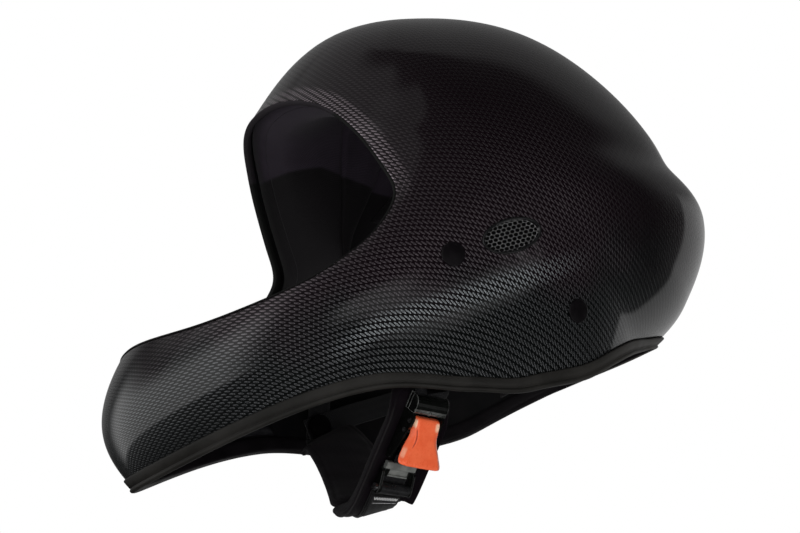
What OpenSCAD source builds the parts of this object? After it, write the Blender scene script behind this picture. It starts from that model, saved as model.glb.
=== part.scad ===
// Full-face free-flight helmet: moulded shell, foam liners, fabric pads, rubber edge trims,
// mesh ear vents, two Y-straps and a chin strap with a ratchet buckle.
// Wearing position: +Z up, face towards -Y, wearer's left towards +X, origin at the centre of the head.

/* [Shell] */
// Half width of the shell at the ears
half_width = 121; // [119:0.5:124]
// Thickness of the moulded shell
shell_wall = 2.4; // [2:0.1:3]
// Gap between pieces that are bonded or laid on each other
seat_gap = 0.2; // [0.15:0.05:0.3]

/* [Edge trims] */
// Height of the rubber trim on the neck rim
rim_trim_height = 7.5; // [6:0.5:8.5]
// Height of the thin trim round the eye port
port_trim_height = 3.5; // [3:0.5:4.5]
// Thickness of the rim trim's legs
trim_leg = 1.5; // [1.2:0.1:1.8]

/* [Liner and pads] */
// Half width of the space inside the head liner
cavity_half_width = 87; // [84:0.5:90]
// Thickness of the chin bar's foam
chin_foam = 8; // [6:0.5:10]
// Thickness of the crown, brow and nape pads
comfort_pad = 9; // [7:0.5:11]
// Thickness of the cheek pads
cheek_pad = 28; // [24:1:31]

/* [Ear vents] */
// Length of the oval ear vent
vent_length = 35; // [32:0.5:38]
// Height of the oval ear vent
vent_height = 17; // [15:0.5:19]
// Width of the wires of the vent's mesh
wire_width = 1.1; // [0.9:0.05:1.3]

/* [Straps] */
// Width of the chin strap's webbing
web_width = 20; // [18:0.5:22]
// Thickness of all webbing
web_thickness = 1.5; // [1.2:0.1:1.8]
// Diameter of the round cap on each strap bolt
cap_diameter = 14; // [12:0.5:15]
// Width of the padded sleeves under the chin
sleeve_width = 42; // [38:1:46]
// How far its long edges curl up beside the buckle
sleeve_cup = 7; // [0:1:8]
// Thickness of the padded sleeves under the chin
sleeve_thickness = 8; // [6:0.5:9]

/* [Buckle] */
// Width of the toothed tongue
tongue_width = 12; // [10:0.5:13]
// Length of the orange lever from its pin to its free end
lever_length = 23; // [21.5:0.5:25]
// Width of the lever's free end
lever_flare = 27; // [24:0.5:28]
// Distance between the ratchet teeth
tooth_pitch = 2.5; // [2:0.1:3]

/* [Hidden] */
columns = 70;       // spokes round the shell, from the eye port to the neck rim
rings = 18;         // rings between the eye port and the neck rim
middle = 13;        // the ring that follows the head liner's lower edge

// Side profile of the shell: [angle above straight ahead, distance from the head's centre in half widths]
side_profile = [
    [-60, 2.066], [-35, 2.099], [-20, 2.058], [0, 1.364], [35, 1.128], [65, 1.124], [90, 1.054],
    [115, 1.037], [140, 1.05], [160, 1.107], [175, 1.19], [190, 1.347], [210, 1.289], [235, 1.19]
];
// Side profile of the space inside the head liner, in its own half widths
cavity_profile = [[0, 1.149], [45, 1.195], [90, 1.126], [140, 1.149], [180, 1.195], [215, 1.172], [270, 1.609]];
roundness = 2.15;   // exponent of the shell's cross-sections; 2 is an ellipse

// Three loops round the left half, from chin to brow or nape: [bearing from straight ahead, elevation]
port_edge = [[0, -12.5], [19.5, -13.9], [35.1, -13.3], [47.4, -8.9], [55, -0.2], [52.4, 10.7], [39.2, 28.4], [0, 38]];
liner_edge = [[0, -21], [22, -21.5], [42, -20], [58, -10], [70, -6], [102, -6], [144, -19], [180, -25]];
rim_edge = [[0, -29.5], [20, -30.5], [42, -35], [63, -44], [82, -49], [108, -50], [144, -46], [180, -38.5]];

// Periodic smooth curve through [angle, value] pairs
function period_step(a, b) = (b - a + 720) % 360;
function knot(list, i) = list[(i + len(list)) % len(list)];
function slope(list, i) =
    (knot(list, i + 1)[1] - knot(list, i - 1)[1]) / period_step(knot(list, i - 1)[0], knot(list, i + 1)[0]);
function span_of(list, a) =
    [for (i = [0 : len(list) - 1])
        let (w = period_step(knot(list, i)[0], knot(list, i + 1)[0]), d = period_step(knot(list, i)[0], a))
        if (d < w) [i, d / w, w]][0];
function hermite(p0, m0, p1, m1, t) =
    (2 * t ^ 3 - 3 * t ^ 2 + 1) * p0 + (t ^ 3 - 2 * t ^ 2 + t) * m0
    + (3 * t ^ 2 - 2 * t ^ 3) * p1 + (t ^ 3 - t ^ 2) * m1;
function around(list, a) =
    let (s = span_of(list, a), i = s[0], w = s[2])
    hermite(knot(list, i)[1], slope(list, i) * w, knot(list, i + 1)[1], slope(list, i + 1) * w, s[1]);

// Outer surface of the shell in a direction from the head's centre
function unit(v) = v / norm(v);
function clamp(x, low, high) = min(high, max(low, x));
function smooth_step(x) = let (t = clamp(x, 0, 1)) t * t * (3 - 2 * t);
function direction(b, e) = [sin(b) * cos(e), -cos(b) * cos(e), sin(e)];
function bearing(d) = atan2(abs(d[0]), -d[1]);
function elevation(d) = atan2(d[2], norm([d[0], d[1]]));
function side_angle(d) = atan2(d[2], -d[1]);
function ball(ax, ap, n, d) = (pow(abs(d[0]) / ax, n) + pow(norm([d[1], d[2]]) / ap, n)) ^ (-1 / n);
// Soft crease between the dome and the tail
crease_depth = 2.2;
function crease(d) =
    let (b = bearing(d), middle_line = 9 - 7 * smooth_step((b - 90) / 80), x = (elevation(d) - middle_line) / 5)
    crease_depth * smooth_step((b - 88) / 45) * exp(-x * x);
function shell_radius(d) =
    ball(half_width, half_width * around(side_profile, side_angle(d)), roundness, d) - crease(d);
function shell_point(d) = d * shell_radius(d);
probe = 0.004;
function shell_normal(d) =
    let (
        u = unit(cross(d, abs(d[0]) < 0.9 ? [1, 0, 0] : [0, 1, 0])),
        v = cross(d, u),
        a = shell_point(unit(d + probe * u)) - shell_point(unit(d - probe * u)),
        b = shell_point(unit(d + probe * v)) - shell_point(unit(d - probe * v)),
        n = unit(cross(a, b))
    )
    n * d > 0 ? n : -n;

// Flat map of all directions, seen from the neck
function bearing_map(b, e) = tan((90 - e) / 2) * [sin(b), -cos(b)];
function from_map(q) = let (k = q * q) [2 * q[0], 2 * q[1], 1 - k] / (1 + k);
function mirrored(list) = concat(list, [for (i = [len(list) - 2 : -1 : 1]) [-list[i][0], list[i][1]]]);
function map_points(list) = [for (p = mirrored(list)) bearing_map(p[0], p[1])];
port_map = map_points(port_edge);
liner_map = map_points(liner_edge);
rim_map = map_points(rim_edge);
function on_loop(pts, i) =
    let (n = len(pts), x = (i / columns) * n, j = floor(x),
         p0 = knot(pts, j - 1), p1 = knot(pts, j), p2 = knot(pts, j + 1), p3 = knot(pts, j + 2))
    hermite(p1, (p2 - p0) / 2, p2, (p3 - p1) / 2, x - j);
function step_for(a, b, length) =
    0.05 * length / norm(shell_point(from_map(a + 0.05 * (b - a))) - shell_point(from_map(a)));

// Direction of the grid's point on spoke i and ring k; the rings next to the edges lie just inside the trims
port_inset = port_trim_height + 2;
rim_inset = rim_trim_height + 1.5;
function grid_direction(i, k) =
    let (p = on_loop(port_map, i), m = on_loop(liner_map, i), r = on_loop(rim_map, i))
    k <= middle
    ? let (s = step_for(p, m, port_inset), t = k == 0 ? 0 : s + (1 - s) * (k - 1) / (middle - 1))
        from_map(p + t * (m - p))
    : let (s = step_for(r, m, rim_inset), t = k == rings ? 1 : (1 - s) * (k - middle) / (rings - 1 - middle))
        from_map(m + t * (r - m));

// Solid between two grids of points; wrap joins the last spoke to the first
module slab(outer, inner, wrap = false) {
    rows = len(outer) - 1;
    n = len(outer[0]);
    spans = wrap ? n : n - 1;
    pts = concat([for (k = [0 : rows]) each outer[k]], [for (k = [0 : rows]) each inner[k]]);
    b = (rows + 1) * n;
    faces = [for (k = [0 : rows - 1]) for (i = [0 : spans - 1])
        let (j = (i + 1) % n, a = k * n + i, c = k * n + j, e = a + n, f = c + n)
        each [[a, c, f], [a, f, e], [b + a, b + f, b + c], [b + a, b + e, b + f]]];
    ends = [for (i = [0 : spans - 1])
        let (j = (i + 1) % n, r = rows * n)
        each [[i, b + j, j], [i, b + i, b + j], [r + i, r + j, b + r + j], [r + i, b + r + j, b + r + i]]];
    sides = wrap ? [] : [for (k = [0 : rows - 1])
        let (a = k * n, e = a + n, c = a + n - 1, f = c + n)
        each [[a, e, b + e], [a, b + e, b + a], [c, b + f, f], [c, b + c, b + f]]];
    polyhedron(pts, concat(faces, ends, sides), convexity = 8);
}

// Solid through a list of cross-section loops; closed joins the last loop to the first
module sweep(loops, closed = false) {
    m = len(loops);
    n = len(loops[0]);
    spans = closed ? m : m - 1;
    faces = [for (k = [0 : spans - 1]) for (i = [0 : n - 1])
        let (j = (i + 1) % n, l = (k + 1) % m, a = k * n + i, c = k * n + j, e = l * n + i, f = l * n + j)
        each [[a, c, f], [a, f, e]]];
    caps = closed ? [] : [[for (i = [n - 1 : -1 : 0]) i], [for (i = [0 : n - 1]) (m - 1) * n + i]];
    polyhedron([for (l = loops) each l], concat(faces, caps), convexity = 8);
}

// Rows of [outer point, outward normal, direction] on the grid
function grid_rows(cols, rows) =
    [for (k = rows) [for (i = cols) let (d = grid_direction(i, k)) [shell_point(d), shell_normal(d), d]]];
function shifted(rows, depth) = [for (r = rows) [for (c = r) c[0] - depth * c[1]]];
// The same, moved towards the head's centre far enough to lie depth below the skin
function sunk(c, depth) = c[0] - c[2] * (depth / (c[1] * c[2]));
function sunk_rows(rows, depth) = [for (r = rows) [for (c = r) sunk(c, depth)]];

// A strip of rubber that grips an edge of the shell
function trim_section(edge, next, height, leg, lip) =
    let (
        n = edge[1],
        run = unit(next[0] - edge[0]),
        top = edge[0] + height * run,
        g = seat_gap,
        w = shell_wall,
        o = leg + g
    )
    [top + (o - 0.4) * n, top - 0.6 * run + o * n, edge[0] + 1.4 * run + o * n,
        edge[0] + 0.6 * run + (o + lip) * n, edge[0] - (g + 0.3) * run + (o + lip) * n,
        edge[0] - (g + leg) * run + (o - 0.2) * n,
        edge[0] - (g + leg) * run - (w + o - 0.5) * n, edge[0] - g * run - (w + o) * n,
        top - (w + o) * n, top - (w + g + 0.35) * n, edge[0] - g * run - (w + g + 0.1) * n,
        edge[0] - g * run + g * n, top + (g + 0.2) * n];
module edge_trim(ring, next_ring, height, leg, lip) {
    edge = grid_rows([0 : columns - 1], [ring])[0];
    next = grid_rows([0 : columns - 1], [next_ring])[0];
    loops = [for (i = [0 : columns - 1]) trim_section(edge[i], next[i], height, leg, lip)];
    sweep(ring == 0 ? loops : [for (i = [columns - 1 : -1 : 0]) loops[i]], closed = true);
}

// Local frame on the shell: z outwards, x level, y up
module on_shell(b, e, depth = 0) {
    d = direction(b, e);
    n = shell_normal(d);
    p = shell_point(d) - depth * n;
    x = unit(cross([0, 0, 1], n));
    y = cross(n, x);
    multmatrix([[x[0], y[0], n[0], p[0]], [x[1], y[1], n[1], p[1]], [x[2], y[2], n[2], p[2]], [0, 0, 0, 1]])
        children();
}
module both_sides() {
    children();
    mirror([1, 0, 0]) children();
}

// Places of the fittings on the wearer's left: [bearing, elevation]
front_anchor = [66, -17];
rear_anchor = [101, -36];
vent_place = [83, -15.5];
vent_tilt = 7;
bolt_radius = 3;
bolt_clearance = 0.15;
frame_ring = 1.5;   // wall of the vent's ring
module oval(length, height) {
    polygon([for (a = [0 : 10 : 350]) [length / 2 * cos(a), height / 2 * sin(a)]]);
}
module at_vent() {
    on_shell(vent_place[0], vent_place[1]) rotate(vent_tilt) children();
}
module bolt_hole_tool() {
    for (a = [front_anchor, rear_anchor])
        on_shell(a[0], a[1]) cylinder(r = bolt_radius + bolt_clearance, h = 20, center = true, $fn = 24);
}

module outer_shell() {
    rows = grid_rows([0 : columns - 1], [0 : rings]);
    color([0.03, 0.03, 0.035])
    difference() {
        slab(shifted(rows, 0), shifted(rows, shell_wall), wrap = true);
        both_sides() {
            at_vent() translate([0, 0, -15]) linear_extrude(30)
                oval(vent_length + 2 * frame_ring + 2 * seat_gap, vent_height + 2 * frame_ring + 2 * seat_gap);
            bolt_hole_tool();
        }
    }
}
module rim_trim() {
    color([0.12, 0.12, 0.11]) edge_trim(rings, rings - 1, rim_trim_height, trim_leg, 0.9);
}
module port_trim() {
    color([0.12, 0.12, 0.11]) edge_trim(0, 1, port_trim_height, 1, 0.3);
}

// Head liner: foam from the shell in to the head's space, thin and rounded towards its edges
function cavity_radius(d) =
    ball(cavity_half_width, cavity_half_width * around(cavity_profile, side_angle(d)), 2.2, d);
liner_gap = seat_gap + 0.1;
liner_first = 11;
liner_last = columns - liner_first;
join_gap = 0.02;    // gap between the two liners, as a share of one spoke's width
function edge_round(x) = sqrt(1 - (1 - clamp(x, 0, 1)) ^ 2);
function liner_fill(i, k) =
    let (from_side = min(i - liner_first, liner_last - i) / 6, from_port = (k - 1) / 1.6, from_end = (middle - k) / 1.2)
    (0.3 + 0.7 * edge_round(from_port)) * (0.35 + 0.65 * edge_round(from_end)) * (0.3 + 0.7 * edge_round(from_side));
function liner_inner(i, k) =
    let (
        d = grid_direction(i, k),
        skin = shell_radius(d) - (shell_wall + liner_gap) / (shell_normal(d) * d),
        full = skin - cavity_radius(d)
    )
    skin - max(7, full * liner_fill(i, k));
module head_liner() {
    cols = concat([liner_first + join_gap], [for (i = [liner_first + 1 : liner_last - 1]) i], [liner_last - join_gap]);
    rows = grid_rows(cols, [1 : middle]);
    color([0.09, 0.09, 0.1])
    slab(sunk_rows(rows, shell_wall + liner_gap),
         [for (k = [1 : middle]) [for (i = cols) grid_direction(i, k) * liner_inner(i, k)]]);
}
// Chin bar foam between the two cheeks
function cushion(u, v) = sqrt(edge_round(4 * min(u, 1 - u)) * edge_round(4 * min(v, 1 - v)));
module chin_liner() {
    first = liner_last - columns;
    cols = [for (i = [first : liner_first]) i];
    ks = [1 : rings - 1];
    rows = grid_rows(cols, ks);
    n = len(cols) - 1;
    color([0.13, 0.12, 0.13])
    slab(shifted(rows, shell_wall + liner_gap),
         [for (r = [0 : len(rows) - 1]) [for (c = [0 : n])
            let (p = rows[r][c], depth = 2 + (chin_foam - 2) * cushion(c / n, r / (len(rows) - 1)))
            p[0] - (shell_wall + liner_gap + depth) * p[1]]]);
}

// Pads that lie on the head liner: spokes a to b, rings c to d
function under_liner(i, k, depth) = grid_direction(i, k) * (liner_inner(i, k) - depth);
module liner_pad(a, b, c, d, thickness) {
    cols = [for (i = [a : b]) i];
    ks = [for (k = [c : d]) k];
    outer = [for (k = ks) [for (i = cols) under_liner(i, k, seat_gap)]];
    inner = [for (k = ks) [for (i = cols)
        let (u = (i - a) / (b - a), v = (k - c) / (d - c))
        under_liner(i, k, seat_gap + 1 + (thickness - 1) * cushion(u, v))]];
    slab(outer, inner);
}
module brow_pad() {
    color([0.25, 0.23, 0.26]) liner_pad(18, 52, 1, 4, comfort_pad);
}
module crown_pad() {
    color([0.25, 0.23, 0.26]) liner_pad(27, 43, 5, 9, comfort_pad);
}
module nape_pad() {
    color([0.25, 0.23, 0.26]) liner_pad(28, 42, 10, 13, comfort_pad);
}

// Cheek pads lie on the chin foam; the strap webs and bolts pass behind them
cheek_first = 7;
cheek_last = 17;
module cheek_pad_left() {
    cols = [for (i = [cheek_first : cheek_last]) i];
    ks = [middle + join_gap * 3, middle + 0.8, middle + 1.5, middle + 2.2];
    rows = grid_rows(cols, ks);
    back = shell_wall + liner_gap + chin_foam + seat_gap;
    color([0.25, 0.23, 0.26])
    slab(sunk_rows(rows, back),
         [for (r = [0 : len(rows) - 1]) [for (c = [0 : len(cols) - 1])
            sunk(rows[r][c], back + 4 + (cheek_pad - 4) * cushion(c / (len(cols) - 1), r / (len(rows) - 1)))]]);
}
module cheek_pad_right() {
    mirror([1, 0, 0]) cheek_pad_left();
}
// Neck roll round the nape, below the head liner
module neck_roll() {
    cols = [for (i = [27 : columns - 27]) i];
    ks = concat([middle + join_gap * 3], [for (k = [middle + 1 : rings - 1]) k]);
    rows = grid_rows(cols, ks);
    back = shell_wall + liner_gap;
    color([0.25, 0.23, 0.26])
    slab(sunk_rows(rows, back),
         [for (r = [0 : len(rows) - 1]) [for (c = [0 : len(cols) - 1])
            sunk(rows[r][c], back + 3 + (comfort_pad + 3) * cushion(c / (len(cols) - 1), r / (len(rows) - 1)))]]);
}

// Oval ring and woven mesh of the ear vent
ring_depth = 6.5;
ring_proud = 0.8;
module vent_frame_left() {
    color([0.06, 0.06, 0.065])
    at_vent() translate([0, 0, ring_proud - ring_depth]) linear_extrude(ring_depth) difference() {
        oval(vent_length + 2 * frame_ring, vent_height + 2 * frame_ring);
        oval(vent_length, vent_height);
    }
}
module vent_frame_right() {
    mirror([1, 0, 0]) vent_frame_left();
}
mesh_pitch = 3.3;
module vent_mesh_left() {
    hole = (mesh_pitch * 2 / sqrt(3) - wire_width) / 2;
    color([0.35, 0.35, 0.36])
    at_vent() translate([0, 0, -2.2]) linear_extrude(1) difference() {
        oval(vent_length - 2 * seat_gap, vent_height - 2 * seat_gap);
        for (r = [-3 : 3]) for (c = [-6 : 6])
            let (x = (c + (r % 2 == 0 ? 0 : 0.5)) * mesh_pitch, y = r * mesh_pitch * 0.8)
            if (pow(x / (vent_length / 2 - 2.4), 2) + pow(y / (vent_height / 2 - 2.0), 2) < 1)
                translate([x, y]) scale([1, 0.72]) circle(r = hole, $fn = 6);
    }
}
module vent_mesh_right() {
    mirror([1, 0, 0]) vent_mesh_left();
}

// Strap bolts: round cap outside, shank through the shell, web and nut
web_layer = shell_wall + seat_gap + 1;    // depth of the web's outer face at a bolt
nut_height = 2;
bolt_depth = web_layer + web_thickness + seat_gap + nut_height + 0.6;
module anchor_bolt() {
    rotate_extrude($fn = 40)
        polygon([[0, -bolt_depth], [bolt_radius, -bolt_depth], [bolt_radius, 0.1], [cap_diameter / 2 - 0.5, 0.1],
            [cap_diameter / 2, 0.5], [cap_diameter / 2, 1.1], [cap_diameter / 2 - 0.9, 1.6],
            [cap_diameter / 4, 1.9], [0, 2]]);
}
module anchor_nut() {
    translate([0, 0, -web_layer - web_thickness - seat_gap - nut_height])
    difference() {
        cylinder(d = 11, h = nut_height, $fn = 6);
        translate([0, 0, -1]) cylinder(r = bolt_radius + bolt_clearance, h = nut_height + 2, $fn = 24);
    }
}
module anchor_bolts() {
    color([0.04, 0.04, 0.045])
    both_sides() for (a = [front_anchor, rear_anchor]) on_shell(a[0], a[1]) anchor_bolt();
}
module anchor_nuts() {
    color([0.6, 0.6, 0.62])
    both_sides() for (a = [front_anchor, rear_anchor]) on_shell(a[0], a[1]) anchor_nut();
}

// Pivot stud of the chin strap, on an axis along X inside the rim
stud_y = -0.5785 * half_width;
stud_z = -0.7934 * half_width;
stud_x = 0.8446 * half_width;   // outer face of the stud's head
stud_head = 1.3;
tab_thickness = 1.2;
tab_play = 0.05;
front_layer = stud_x - stud_head - seat_gap;
rear_layer = front_layer - web_thickness - seat_gap;
tab_layer = rear_layer - web_thickness - seat_gap;
stud_end = tab_layer - tab_thickness - seat_gap - stud_head;
y_web_width = 14;
module along_x(x) {
    translate([x, stud_y, stud_z]) rotate([0, 90, 0]) children();
}
module pivot_stud_left() {
    color([0.5, 0.5, 0.52]) {
        along_x(stud_end) cylinder(r = 6, h = stud_head, $fn = 32);
        along_x(stud_end) cylinder(r = bolt_radius, h = stud_x - stud_end, $fn = 32);
        along_x(stud_x - stud_head) cylinder(r = 6.5, h = stud_head, $fn = 32);
    }
}
module pivot_stud_right() {
    mirror([1, 0, 0]) pivot_stud_left();
}

// Flat band through a list of [point, normal]; it keeps its normal across the width
function band_loop(p, n, t, w, thick) =
    let (side = unit(cross(t, n)), m = unit(cross(side, t)))
    [p + w / 2 * side - thick / 2 * m, p + w / 2 * side + thick / 2 * m,
        p - w / 2 * side + thick / 2 * m, p - w / 2 * side - thick / 2 * m];
function tangent(pts, i) = unit(pts[min(i + 1, len(pts) - 1)] - pts[max(i - 1, 0)]);
module band(pts, normals, w, thick) {
    sweep([for (i = [0 : len(pts) - 1]) band_loop(pts[i], normals[i], tangent(pts, i), w, thick)]);
}
// Web from a bolt on the shell to the pivot stud, flat at both ends
module y_web(anchor, layer) {
    d = direction(anchor[0], anchor[1]);
    n = shell_normal(d);
    a = shell_point(d) - (web_layer + web_thickness / 2) * n;
    b = [layer - web_thickness / 2, stud_y, stud_z];
    ta = unit((b - a) - ((b - a) * n) * n);
    tb = unit([0, b[1] - a[1], b[2] - a[2]]);
    reach = norm(b - a) - 20;
    mids = [for (i = [1 : 7]) let (t = i / 8) hermite(a + 10 * ta, reach * ta, b - 11 * tb, reach * tb, t)];
    pts = concat([a - 8 * ta, a + 10 * ta], mids, [b - 11 * tb, b + 8 * tb]);
    ns = concat([n, n], [for (i = [1 : 7]) unit(n + smooth_step(i / 8) * ([1, 0, 0] - n))], [[1, 0, 0], [1, 0, 0]]);
    color([0.05, 0.05, 0.05])
    difference() {
        band(pts, ns, y_web_width, web_thickness);
        on_shell(anchor[0], anchor[1]) cylinder(r = bolt_radius + bolt_clearance, h = 30, center = true, $fn = 24);
        along_x(stud_end - 5) cylinder(r = bolt_radius + bolt_clearance, h = 30, $fn = 24);
    }
}
module front_web_left() {
    y_web(front_anchor, front_layer);
}
module rear_web_left() {
    y_web(rear_anchor, rear_layer);
}
module front_web_right() {
    mirror([1, 0, 0]) front_web_left();
}
module rear_web_right() {
    mirror([1, 0, 0]) rear_web_left();
}

// Tab of the chin strap that turns on the stud
module strap_tab_left() {
    color([0.5, 0.5, 0.52])
    difference() {
        along_x(tab_layer - tab_thickness) linear_extrude(tab_thickness)
            union() {
                circle(r = 7.5, $fn = 40);
                translate([0, -6]) square([17, 12]);
            }
        along_x(tab_layer - tab_thickness - 1)
            cylinder(r = bolt_radius + tab_play, h = tab_thickness + 2, $fn = 32);
    }
}
module strap_tab_right() {
    mirror([1, 0, 0]) strap_tab_left();
}

// Frame of the buckle: x across, y down the strap, z outwards; its origin lies under the top cover
buckle_top = half_width * [0.7438, -0.6364, -0.9876];
buckle_run = unit([-0.54, -0.37, -0.76]);
buckle_face = let (n = [0.78, 0.11, -0.61]) unit(n - (n * buckle_run) * buckle_run);
function from_buckle(x, y, z) = buckle_top + x * cross(buckle_run, buckle_face) + y * buckle_run + z * buckle_face;
module at_buckle() {
    x = cross(buckle_run, buckle_face);
    y = buckle_run;
    z = buckle_face;
    p = buckle_top;
    multmatrix([[x[0], y[0], z[0], p[0]], [x[1], y[1], z[1], p[1]], [x[2], y[2], z[2], p[2]], [0, 0, 0, 1]])
        children();
}
plate_bottom = -3;
plate_top = -1.5;

// Line of the chin strap on the sleeves' outer side: [point, outward normal], wearer's left to right
web_x = tab_layer - tab_thickness - seat_gap - web_thickness;    // sleeve side of the webbing at the tabs
skin_x = web_x - seat_gap;
sleeve_skin = plate_bottom - seat_gap;
chin_line = [
    [[skin_x, stud_y - 1, stud_z - 5], [1, 0, 0]],
    [[skin_x - 0.4, stud_y - 3, stud_z - 13], [1, 0, 0]],
    [from_buckle(0, -2, sleeve_skin - 0.3), buckle_face],
    [from_buckle(0, 26, sleeve_skin - 0.5), buckle_face],
    [from_buckle(0, 55, sleeve_skin - 1), buckle_face],
    [half_width * [0.378, -0.832, -1.37], [0.6, 0.08, -0.8]],
    [half_width * [0.208, -0.798, -1.366], [0.08, 0, -1]],
    [half_width * [0.008, -0.732, -1.325], [-0.3, 0, -0.95]],
    [half_width * [-0.231, -0.653, -1.223], [-0.5, 0, -0.86]],
    [half_width * [-0.463, -0.595, -1.074], [-0.62, 0, -0.78]],
    [half_width * [-0.645, -0.57, -0.95], [-0.75, 0, -0.66]],
    [[1.8 - skin_x, stud_y - 1.5, stud_z - 11], [-1, 0, 0]],
    [[-skin_x, stud_y - 0.5, stud_z - 3], [-1, 0, 0]]
];
function chin_at(t, lift) =
    let (j = min(floor(t), len(chin_line) - 2), f = t - j,
         q = function (i) chin_line[clamp(i, 0, len(chin_line) - 1)],
         p = hermite(q(j)[0], (q(j + 1)[0] - q(j - 1)[0]) / 2, q(j + 1)[0], (q(j + 2)[0] - q(j)[0]) / 2, f),
         n = unit((1 - f) * q(j)[1] + f * q(j + 1)[1]))
    [p + lift * n, n];
module chin_band(t0, t1, steps, lift, w, thick) {
    rows = [for (i = [0 : steps]) chin_at(t0 + (t1 - t0) * i / steps, lift)];
    band([for (r = rows) r[0]], [for (r = rows) r[1]], w, thick);
}
module buckle_web() {
    color([0.05, 0.05, 0.05])
    band([[web_x, stud_y - 1, stud_z - 7.5], [web_x, stud_y - 2, stud_z - 14], from_buckle(0, -6.5, -0.9),
          from_buckle(0, -1.2, -0.5)] + [for (i = [0 : 3]) (i < 2 ? web_thickness / 2 : 0) * [1, 0, 0]],
         [[1, 0, 0], [1, 0, 0], buckle_face, buckle_face], web_width, web_thickness);
}
belt_lift = seat_gap + web_thickness / 2;
module chin_web() {
    color([0.05, 0.05, 0.05]) chin_band(3.6, len(chin_line) - 1.7, 46, belt_lift + 0.1, web_width, web_thickness);
}
// Stitched end of the webbing, folded over the bar
module web_fold() {
    color([0.05, 0.05, 0.05])
    chin_band(4.1, 5.05, 10, belt_lift + web_thickness + 2.5 * seat_gap, web_width, web_thickness);
}

// Padded sleeves: rounded cushions on the wearer's side of the webbing
function sleeve_loop(p, n, t, share, cup) =
    let (side = unit(cross(t, n)), m = unit(cross(side, t)), w = sleeve_width / 2 * share, h = sleeve_thickness * share)
    [for (a = [0 : 30 : 330])
        let (c = cos(a), s = sin(a), x = pow(abs(c), 0.6), rise = cup * clamp((x - 0.55) / 0.45, 0, 1) ^ 2)
        p + side * (w * sign(c) * x) + m * (h / 2 * (sign(s) * pow(abs(s), 0.7)) - sleeve_thickness / 2 + rise)];
function cup_at(t) = sleeve_cup * smooth_step((t - 1.8) / 0.8) * smooth_step(5.3 - t);
module sleeve(t0, t1, steps) {
    rows = [for (i = [0 : steps]) chin_at(t0 + (t1 - t0) * i / steps, 0)];
    pts = [for (r = rows) r[0]];
    color([0.1, 0.095, 0.1])
    sweep([for (i = [0 : steps])
        let (x = min(i, steps - i))
        sleeve_loop(pts[i], rows[i][1], tangent(pts, i), x == 0 ? 0.55 : x == 1 ? 0.92 : 1,
            cup_at(t0 + (t1 - t0) * i / steps))]);
}
module left_sleeve() {
    sleeve(1.6, 6.6, 30);
}
module right_sleeve() {
    sleeve(6.75, len(chin_line) - 2.2, 18);
}

// Buckle body
side_wall = 1.5;
body_width = 2 * (tongue_width / 2 + 3.5 + side_wall);
inner_half = body_width / 2 - side_wall;
pin_radius = 1.5;
pin_play = 0.05;
frame_end = 33;
lever_axis = [7, 5.2];      // [y, z] of the lever's pin
pawl_axis = [13.5, 3.6];    // [y, z] of the pawl's pin
module across(at, r, length) {
    translate([-length / 2, at[0], at[1]]) rotate([0, 90, 0]) cylinder(r = r, h = length, $fn = 24);
}
module side_profile_plate(points, x0, width) {
    translate([x0, 0, 0]) rotate([90, 0, 90]) linear_extrude(width) polygon(points);
}
module buckle_frame() {
    wall = [[2.2, plate_bottom], [frame_end, plate_bottom], [frame_end, 0], [frame_end - 5, 2.2], [20, 4.8], [14.6, 5.9],
        [10, 7.8], [4, 7.8], [2.2, 6]];
    color([0.03, 0.035, 0.03])
    at_buckle() difference() {
        union() {
            translate([-body_width / 2, 2.2, plate_bottom])
                cube([body_width, frame_end - 2.2, plate_top - plate_bottom]);
            side_profile_plate(wall, -body_width / 2, side_wall);
            side_profile_plate(wall, inner_half, side_wall);
        }
        across(lever_axis, pin_radius + pin_play, 60);
        across(pawl_axis, pin_radius + pin_play, 60);
    }
}
module buckle_cover() {
    w = body_width + 0.6;
    color([0.02, 0.02, 0.02])
    at_buckle() difference() {
        side_profile_plate([[-8, plate_bottom], [2, plate_bottom], [2, 6.2], [0.8, 7], [-3.4, 7], [-6.4, 5.6], [-8, 3]],
            -w / 2, w);
        translate([-web_width / 2 - 0.6, -9, -0.9 - web_thickness / 2 - 0.5])
            cube([web_width + 1.2, 8.2, web_thickness + 1.5]);
    }
}

// Orange lever: a wedge with spread sides that flares to its free end
// [y, half width on top, half width below, top, bottom]
lever_end = lever_axis[0] + lever_length;
lever_rows = [[3.4, 7, 7.6, 8, 4.4], [4.6, 8, 9, 9, 3.5], [8.6, 8.2, 9.1, 10.4, 3], [11, 7.9, 9.1, 11.2, 6.2],
    [14, 7.5, 9.4, 12.3, 7.6], [17, 8, 10.6, 13.4, 8.6], [22, lever_flare / 2 - 3.2, lever_flare / 2 - 0.6, 15.2, 10.4],
    [lever_end - 1.6, lever_flare / 2 - 1, lever_flare / 2 + 1.8, 17.8, 13.2],
    [lever_end, lever_flare / 2 - 2, lever_flare / 2, 17.6, 14.6]];
module lever() {
    color([0.88, 0.36, 0.2])
    at_buckle() difference() {
        sweep([for (r = lever_rows)
            [[-r[2], r[0], r[4]], [r[2], r[0], r[4]], [r[2], r[0], r[4] + 1], [r[1], r[0], r[3]], [-r[1], r[0], r[3]],
             [-r[2], r[0], r[4] + 1]]]);
        across(lever_axis, pin_radius + pin_play, 60);
        translate([-6, pawl_axis[0] - 3.4, 0]) cube([12, 8.6, pawl_axis[1] + 3.4]);
    }
}
module lever_pin() {
    color([0.5, 0.5, 0.52]) at_buckle() across(lever_axis, pin_radius, body_width + 0.6);
}
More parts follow.
